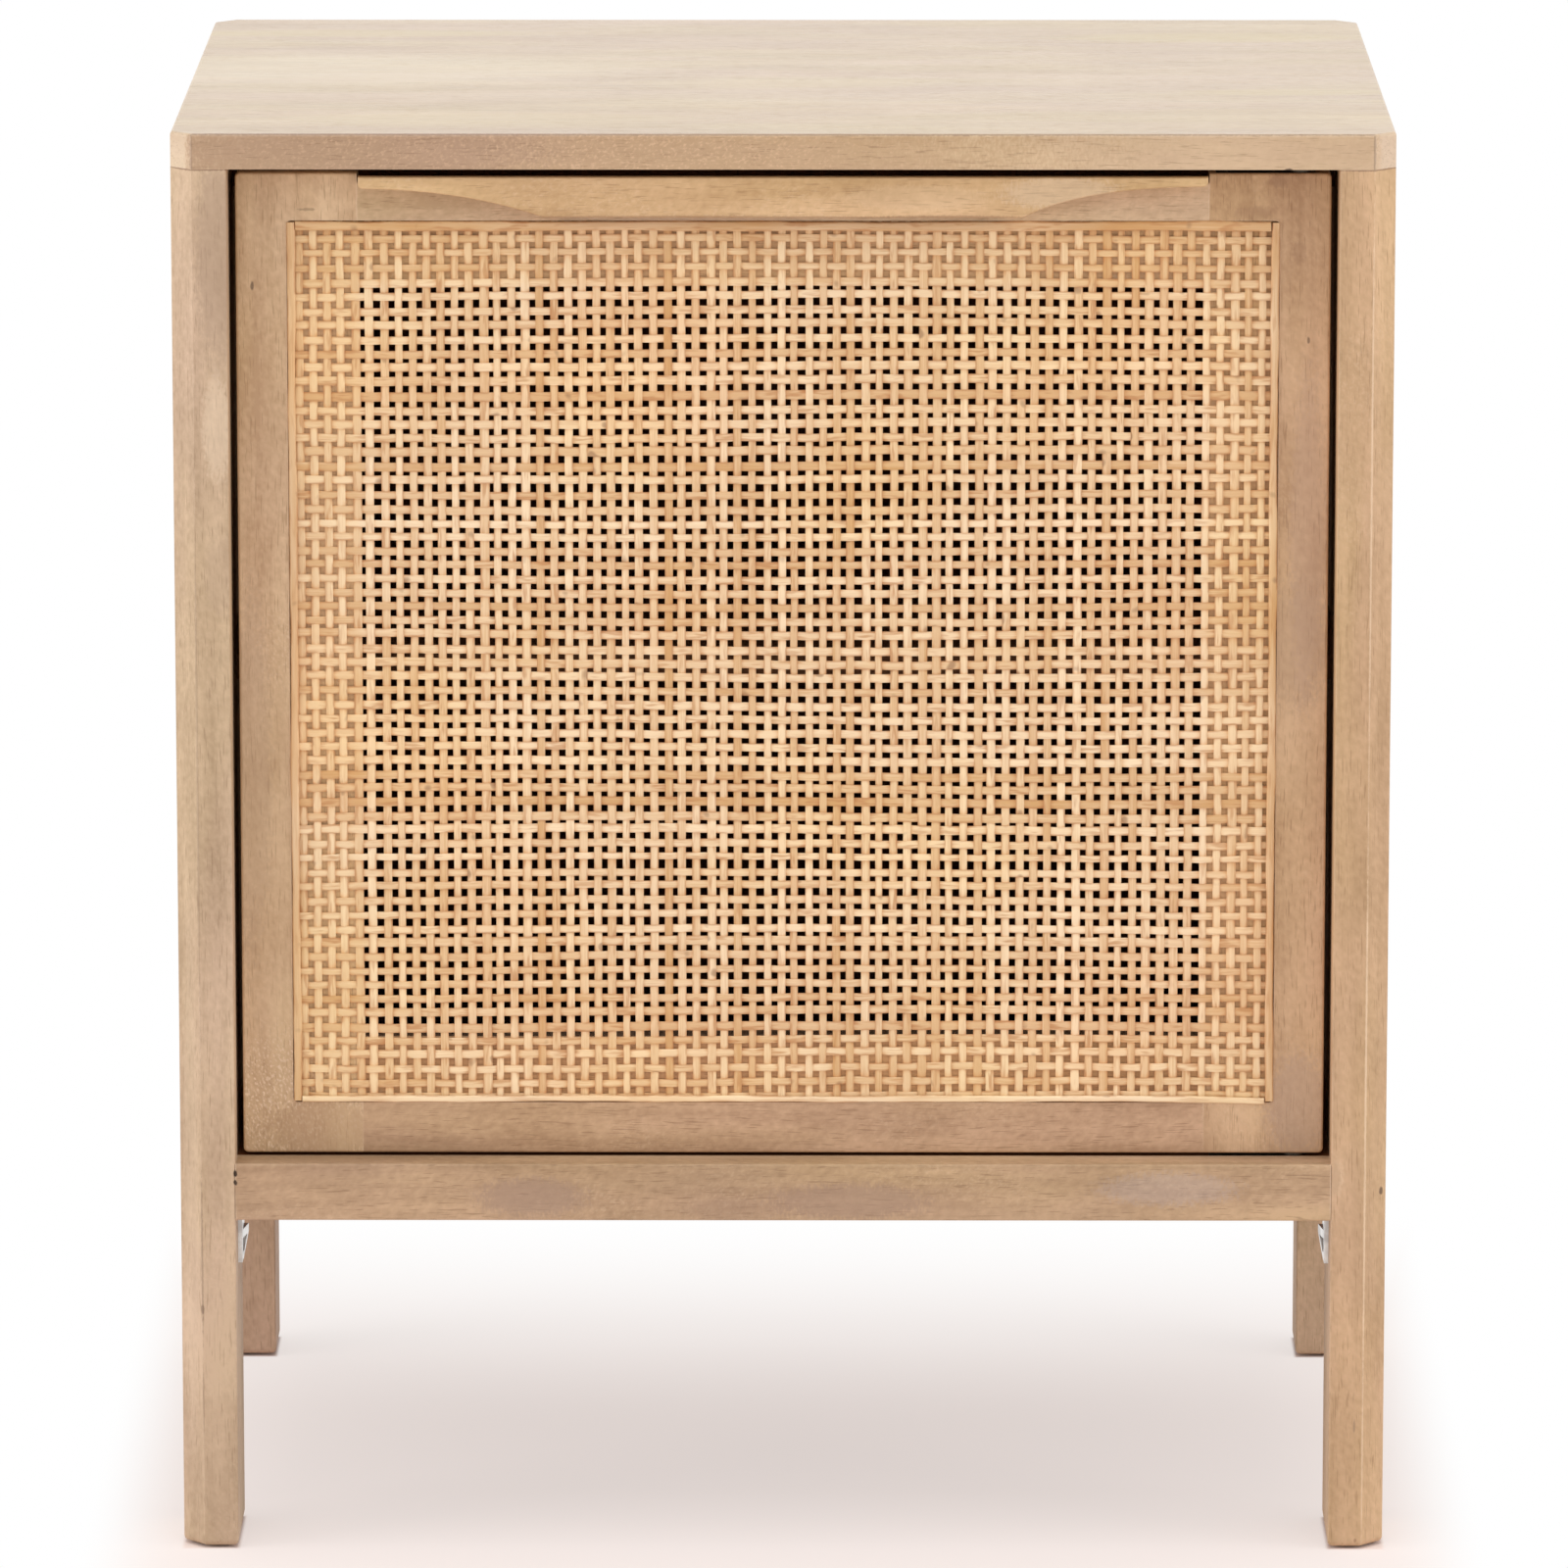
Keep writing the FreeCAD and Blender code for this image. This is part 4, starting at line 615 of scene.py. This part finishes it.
CANE_SKIN = cane_skin_group()


def cane_finish(name, glued=1.0):
    """Split cane that follows each strip. The attribute strip holds how far across the strip a point is, how far
    along it and the strip's number. The attribute tint holds how straw-coloured, how pink and how rusty it is."""
    material, tree = new_material(name)
    inputs = {"Place": add(tree, "TexCoord").outputs["Object"], "Glued": glued}
    for socket, attribute in (("Strip", "strip"), ("Tint", "tint")):
        own = add(tree, "Attribute", attribute_name=attribute, attribute_type="GEOMETRY")
        inputs[socket] = own.outputs["Vector"]
    finish = add(tree, "Group", inputs, node_tree=CANE_SKIN).outputs
    surface(tree, finish["Color"], finish["Roughness"], finish["Height"], 0.25, 0.0002)
    return material


def write_attribute(mesh, name, values):
    """A vector for each of the mesh's points."""
    layer = mesh.attributes.new(name, "FLOAT_VECTOR", "POINT")
    layer.data.foreach_set("vector", np.asarray(values, np.float32).ravel())


# The section of a strip: crown, then shoulder and underside on one side, and the same on the other.
SECTION_ACROSS = np.array([0.0, 0.5, 0.43, -0.43, -0.5])
SECTION_OUT = np.array([0.5, 0.16, -0.5, -0.5, 0.16])
ROUND = len(SECTION_OUT)


def edit_long_edges(bar, axis, length):
    """Goes into edit mode with only the edges selected that run along a bar of that length."""
    bpy.ops.object.mode_set(mode="EDIT")
    bpy.ops.mesh.select_mode(type="EDGE")
    bpy.ops.mesh.select_all(action="DESELECT")
    bpy.ops.object.mode_set(mode="OBJECT")
    points = bar.data.vertices
    for edge in bar.data.edges:
        one, other = edge.vertices
        edge.select = abs(points[one].co[axis] - points[other].co[axis]) > length / 2
    bpy.ops.object.mode_set(mode="EDIT")


def straight_strip(name):
    """One strip as it comes off the knife: a bar of five sides, 1 m long, cut across into short lengths."""
    bpy.ops.object.select_all(action="DESELECT")
    bpy.ops.mesh.primitive_cylinder_add(vertices=ROUND, radius=1.0, depth=1.0, end_fill_type="NGON")
    bar = bpy.context.object
    bar.name = name
    edit_long_edges(bar, 2, 1.0)
    bpy.ops.mesh.subdivide(number_cuts=STRIP_CUTS)
    bpy.ops.object.mode_set(mode="OBJECT")
    return bar


def strip_points(bar, stops):
    """Which stop on a strip's course each of the bar's points goes to, and which corner of the section it is."""
    co = np.zeros(len(bar.data.vertices) * 3)
    bar.data.vertices.foreach_get("co", co)
    x, y, z = co.reshape(-1, 3).T
    stop = np.rint((z + 0.5) * (stops - 1)).astype(int)
    corner = np.rint(np.arctan2(x, y) / math.tau * ROUND).astype(int) % ROUND
    return stop, corner


# A strip's course has four stops for each crossing: its middle, near each edge of the strip that it crosses, and
# halfway to the next crossing. The bar has fewer cuts than that, and each one goes to the nearest stop.
ON_CROSSING = np.array([-0.37, 0.0, 0.37])
LIFT_ON_CROSSING = np.array([0.90, 1.0, 0.90])


def strip_course(crossed, crossed_width, over_first, start, end):
    """Where a strip's stops lie along it, and how far forward each is: over one strip and under the next."""
    sign = np.where(np.arange(len(crossed)) % 2 == 0, over_first, -over_first)
    along = crossed[:, None] + ON_CROSSING * crossed_width[:, None]
    forward = sign[:, None] * LIFT_ON_CROSSING * LIFT
    halfway = (crossed[:-1] + crossed[1:]) / 2
    along = np.column_stack([along, np.append(halfway, 0.0)]).ravel()[:-1]
    forward = np.column_stack([forward, np.zeros(len(crossed))]).ravel()[:-1]
    along = np.concatenate([[start], along, [end]])
    forward = np.concatenate([[0.0], forward, [0.0]])
    return along, forward


# Each strip's skin is cut from its own place in the pattern.
SKIN_STEP = 1.37
CROSSING_SKIN, UPRIGHT_SKIN = 0.0, 40.0
PINK_SHARE = 0.16


def weave(name, strips, upright):
    """All the strips that run one way, as one piece."""
    crossed_count = CROSSINGS if upright else UPRIGHTS
    bar = straight_strip(name + "_bar")
    bar.data.materials.append(cane_finish(name + "_skin"))
    stop, corner = strip_points(bar, crossed_count * (len(ON_CROSSING) + 1) + 1)
    straw = rng.beta(3.2, 1.7, strips)
    pink = np.where(rng.random(strips) < PINK_SHARE, rng.uniform(0.35, 0.8, strips), rng.uniform(0.0, 0.18, strips))
    rusty = rng.uniform(0.2, 1.0, strips)
    made = []
    for strip in range(strips):
        others = np.arange(crossed_count)
        if upright:
            crossed = crossing_at(others, upright_home[strip])
            course = strip_course(crossed, crossing_width, 1 - 2 * (strip % 2), cane_low.z, cane_high.z)
            width, sideways = upright_width[strip], upright_at
        else:
            crossed = upright_at(others, crossing_home[strip])
            course = strip_course(crossed, upright_width, 2 * (strip % 2) - 1, cane_low.x, cane_high.x)
            width, sideways = crossing_width[strip], crossing_at
        along, forward = course
        line = sideways(strip, along)
        roll = ROLL * np.sin(math.tau * along / ROLL_LENGTH + strip * ROLL_STEP)
        across = SECTION_ACROSS[corner] * width
        out = SECTION_OUT[corner] * STRIP_THICKNESS + across * roll[stop]
        depth = MIDDLE - forward[stop] - out
        if upright:
            places = np.column_stack([line[stop] - across, depth, along[stop]])
        else:
            places = np.column_stack([along[stop], depth, line[stop] + across])
        mesh = bar.data.copy()
        mesh.vertices.foreach_set("co", places.ravel())
        number = strip * SKIN_STEP + (UPRIGHT_SKIN if upright else CROSSING_SKIN)
        write_attribute(mesh, "strip", np.column_stack([across / width * 2, along[stop], np.full(len(stop), number)]))
        write_attribute(mesh, "tint", np.tile([straw[strip], pink[strip], rusty[strip]], (len(stop), 1)))
        copy = bpy.data.objects.new(name + "_" + str(strip), mesh)
        bpy.context.collection.objects.link(copy)
        made.append(copy)
    bpy.data.objects.remove(bar)
    for copy in made:
        copy.select_set(True)
    bpy.context.view_layer.objects.active = made[0]
    bpy.ops.object.join()
    panel = bpy.context.object
    panel.name = name
    bpy.ops.object.shade_smooth_by_angle(angle=math.radians(50.0))
    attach(panel, "door")
    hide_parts("cane_panel")


weave("cane_uprights", UPRIGHTS, True)
weave("cane_crossings", CROSSINGS, False)


# Beads. Thin strips of whole rattan skin, pinned and glued over the cane's cut edges, one along each side. They
# are drawn by hand too, so they are never quite straight, and small gaps are left where they meet.

BEAD_CUTS = 90
BEAD_ROUNDING = 0.00085
BEAD_FILL = 0.93    # the share of its box that a bead fills, so that it sways inside it
# How far a bead sways, over what length, and how that shifts from bead to bead.
BEAD_SWAYS = ((0.00016, 0.21, 1.0), (0.00010, 0.083, 2.3), (0.00005, 0.029, 3.1))
# By what share of its width it swells, and over what length.
BEAD_SWELLS = ((0.07, 0.117), (0.05, 0.040212))
# The bottom bead has come away a little at its right end.
DROOP, DROOP_START, DROOP_LENGTH = 0.0008, 0.196, 0.02
BEAD_SKIN, BEAD_SKIN_STEP = 90.0, 2.9
BEAD_TINTS = {
    "left": (0.45, 0.30, 0.35), "right": (0.35, 0.15, 0.5), "top": (0.25, 0.1, 0.9), "bottom": (0.85, 0.0, 0.4),
}


def bead(side, number):
    """A bead at its place on the panel: a bar cut into short lengths, eased, and then let wander a little."""
    low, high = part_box("bead_" + side)
    size = high - low
    axis = 0 if size.x > size.z else 2
    bpy.ops.object.select_all(action="DESELECT")
    bpy.ops.mesh.primitive_cube_add(size=1.0, location=(low + high) / 2, scale=size)
    piece = bpy.context.object
    piece.name = "rattan_bead_" + side
    bpy.ops.object.transform_apply(location=True, rotation=False, scale=True)
    edit_long_edges(piece, axis, size[axis])
    bpy.ops.mesh.bevel(offset=BEAD_ROUNDING, segments=3, affect="EDGES")
    edit_long_edges(piece, axis, size[axis])
    bpy.ops.mesh.subdivide(number_cuts=BEAD_CUTS)
    bpy.ops.object.mode_set(mode="OBJECT")
    points = piece.data.vertices
    co = np.zeros(len(points) * 3)
    points.foreach_get("co", co)
    co = co.reshape(-1, 3)
    along, wide = co[:, axis], 2 - axis
    middle = (low[wide] + high[wide]) / 2
    across = (co[:, wide] - middle) / (size[wide] / 2)
    sway = sum(far * np.sin(math.tau * along / length + number * start) for far, length, start in BEAD_SWAYS)
    girth = 1.0 + sum(share * np.sin(math.tau * along / length + number) for share, length in BEAD_SWELLS)
    co[:, wide] = middle + sway + across * girth * size[wide] / 2 * BEAD_FILL
    if side == "bottom":
        co[:, wide] -= DROOP * np.clip((along - DROOP_START) / DROOP_LENGTH, 0.0, 1.0)
    points.foreach_set("co", co.ravel())
    skin = np.full(len(along), BEAD_SKIN + number * BEAD_SKIN_STEP)
    write_attribute(piece.data, "strip", np.column_stack([across, along, skin]))
    write_attribute(piece.data, "tint", np.tile(BEAD_TINTS[side], (len(along), 1)))
    piece.data.materials.append(cane_finish(piece.name + "_skin", glued=0.0))
    bpy.ops.object.shade_smooth_by_angle(angle=math.radians(40.0))
    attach(piece, "door")
    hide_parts("bead_" + side)


for number, side in enumerate(BEAD_TINTS):
    bead(side, number + 1)


# Pull. A long strip of paler hardwood along the door's top edge, carved thin at both ends and hollowed
# underneath for the fingers. It is glued on over the top rail.

pull_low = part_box("door_pull")[0]
pull_marks = [
    ((0.125, pull_low.y, 0.629), (0.032, 0.006, 0.009), (0.84, 0.72, 0.58), 0.25),
    ((0.060, pull_low.y, 0.627), (0.040, 0.006, 0.007), (0.84, 0.66, 0.46), 0.15),
    # Brown along the pull's lower edge: a painted shadow line under the pull.
    ((-0.040, pull_low.y, pull_low.z), (0.120, 0.012, 0.0012), BROWN, 0.45),
    ((0.075, pull_low.y, pull_low.z), (0.040, 0.012, 0.0014), BROWN, 0.55),
]
dress(wood("pull_wood", "x", (0.48, 0.303, 0.145), (0.745, 0.523, 0.295), blush=(0.60, 0.40, 0.24), blush_share=0.2,
           figure=1.9, curl=0.8, fleck=0.5, wear_and_highlight=0.45, blemishes=pull_marks), "door_pull")


# Hinges and catch. Knife hinges let into the top and bottom of the right stile, each with a pin and a spacer
# ring, and a magnet in a nylon housing under the top, which holds a small steel plate on the door's back.

dress(metal("hinge_bronze", (0.16, 0.13, 0.10), (0.09, 0.075, 0.06), 0.40),
      "hinge_top_case_leaf", "hinge_top_door_leaf", "hinge_bottom_case_leaf", "hinge_bottom_door_leaf",
      "hinge_pins", "hinge_spacers", "hinge_case_screws", "hinge_door_screws")
dress(metal("catch_steel", (0.74, 0.73, 0.70), (0.52, 0.51, 0.49), 0.28),
      "catch_strike", "catch_screws", "strike_screw")
dress(metal("magnet_grey", (0.20, 0.20, 0.21), (0.13, 0.13, 0.135), 0.42), "catch_magnet")


# Camera, floor and light. A long lens stands well back and looks a little down. The floor is a pale studio
# sweep that keeps the table's soft shadow and goes to white away from it. Large soft lamps hang all round.

camera_data = bpy.data.cameras.new("camera")
camera = bpy.data.objects.new("camera", camera_data)
bpy.context.collection.objects.link(camera)
camera_data.lens = 263.33
camera_data.sensor_width = 36.0
camera_data.clip_end = 60.0
camera.location = (0.0191, -5.3145, 1.3616)
camera.rotation_euler = (math.radians(78.899), 0.0, math.radians(0.209))
bpy.context.scene.camera = camera

FLOOR_SIDE = 24.0
foot_middle = -(leg_low.x + leg_high.x) / 2
foot_half = (leg_high.x - leg_low.x) / 2
PAPER_LIFT = 0.58                # how white the paper is near the table, before its shade is added
SHADE_BESIDE = (0.272, 0.325)    # where that shade starts to fade beside the table and where it ends,
SHADE_BEHIND = (0.02, 0.48)      # the same behind its middle,
SHADE_BEFORE = (0.36, 0.62)      # and in front
UNDER_FOOT = (-0.001, 0.0014)    # the paper keeps its shade this close to a foot
# Near the table the white is tinted warm: painted light, for what the wood throws back on the paper.
WARM_BOUNCE_WHITE = (1.0, 0.935, 0.905, 1.0)
WHITE = (1.0, 1.0, 1.0, 1.0)


def seen_straight(tree):
    """1 for what the camera sees, straight or in a shine or through glass, and 0 for what only lights."""
    seen = add(tree, "LightPath").outputs
    direct = calc(tree, "MAXIMUM", seen["Is Camera Ray"], seen["Is Glossy Ray"])
    return calc(tree, "MAXIMUM", direct, seen["Is Transmission Ray"])


bpy.ops.object.select_all(action="DESELECT")
bpy.ops.mesh.primitive_plane_add(size=FLOOR_SIDE, location=(0.0, 0.0, 0.0))
floor = bpy.context.object
floor.name = "studio_floor"
paper, tree = new_material("studio_paper")
spread = add(tree, "SeparateXYZ", {0: add(tree, "TexCoord").outputs["Object"]}).outputs
beside = rise(tree, calc(tree, "ABSOLUTE", spread["X"]), *SHADE_BESIDE)
behind = rise(tree, spread["Y"], *SHADE_BEHIND)
before = rise(tree, calc(tree, "MULTIPLY", spread["Y"], -1.0), *SHADE_BEFORE)
away = calc(tree, "MAXIMUM", calc(tree, "MAXIMUM", beside, behind), before)
share = calc(tree, "MULTIPLY_ADD", away, 1.0 - PAPER_LIFT, PAPER_LIFT)
off_foot = calc(tree, "ABSOLUTE", calc(tree, "SUBTRACT", calc(tree, "ABSOLUTE", spread["X"]), foot_middle))
reaches = []
for foot in ("front_leg_left", "rear_leg_left"):
    low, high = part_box(foot)
    deep = calc(tree, "ABSOLUTE", calc(tree, "SUBTRACT", spread["Y"], (low.y + high.y) / 2))
    deep = calc(tree, "SUBTRACT", deep, (high.y - low.y) / 2)
    reaches.append(calc(tree, "MAXIMUM", calc(tree, "SUBTRACT", off_foot, foot_half), deep))
clear = rise(tree, calc(tree, "MINIMUM", *reaches), *UNDER_FOOT)
share = calc(tree, "MULTIPLY", calc(tree, "MULTIPLY", share, clear), seen_straight(tree))
paper_shader = tree.nodes["Principled BSDF"]
# The paper's pink colour is painted light too, for the wood's warm light in the table's shade.
paper_shader.inputs["Base Color"].default_value = (0.92, 0.80, 0.76, 1.0)
paper_shader.inputs["Roughness"].default_value = 0.9
paper_shader.inputs["Specular IOR Level"].default_value = 0.0
white = add(tree, "Emission", {"Color": mix(tree, away, WARM_BOUNCE_WHITE, WHITE), "Strength": 1.0})
blended = add(tree, "MixShader", {0: share, 1: paper_shader.outputs[0], 2: white.outputs[0]})
tree.links.new(blended.outputs[0], tree.nodes["Material Output"].inputs["Surface"])
floor.data.materials.append(paper)

world = bpy.data.worlds.new("studio")
world.use_nodes = True
bpy.context.scene.world = world
tree = world.node_tree
soft = tree.nodes["Background"]
soft.inputs["Color"].default_value = (1.0, 0.99, 0.975, 1.0)
soft.inputs["Strength"].default_value = 0.64
backdrop = add(tree, "Background", {"Color": WHITE, "Strength": 1.0})
sky = add(tree, "MixShader", {0: seen_straight(tree), 1: soft.outputs[0], 2: backdrop.outputs[0]})
tree.links.new(sky.outputs[0], tree.nodes["World Output"].inputs["Surface"])


TABLE_MIDDLE = Vector((0.0, 0.0, 0.33))


def soft_lamp(name, place, size, power):
    """A square softbox that faces the middle of the table."""
    lamp = bpy.data.lights.new(name, "AREA")
    lamp.shape = "SQUARE"
    lamp.size = size
    lamp.energy = power
    box = bpy.data.objects.new(name, lamp)
    bpy.context.collection.objects.link(box)
    box.location = place
    box.rotation_euler = (TABLE_MIDDLE - Vector(place)).to_track_quat("-Z", "Y").to_euler()


soft_lamp("overhead_softbox", (0.0, -0.9, 3.2), 2.4, 35.5)
soft_lamp("left_softbox", (-2.8, -1.0, 0.95), 1.8, 33.0)
soft_lamp("right_softbox", (2.8, -1.0, 0.95), 1.8, 27.0)

bpy.context.scene.view_settings.view_transform = "Standard"
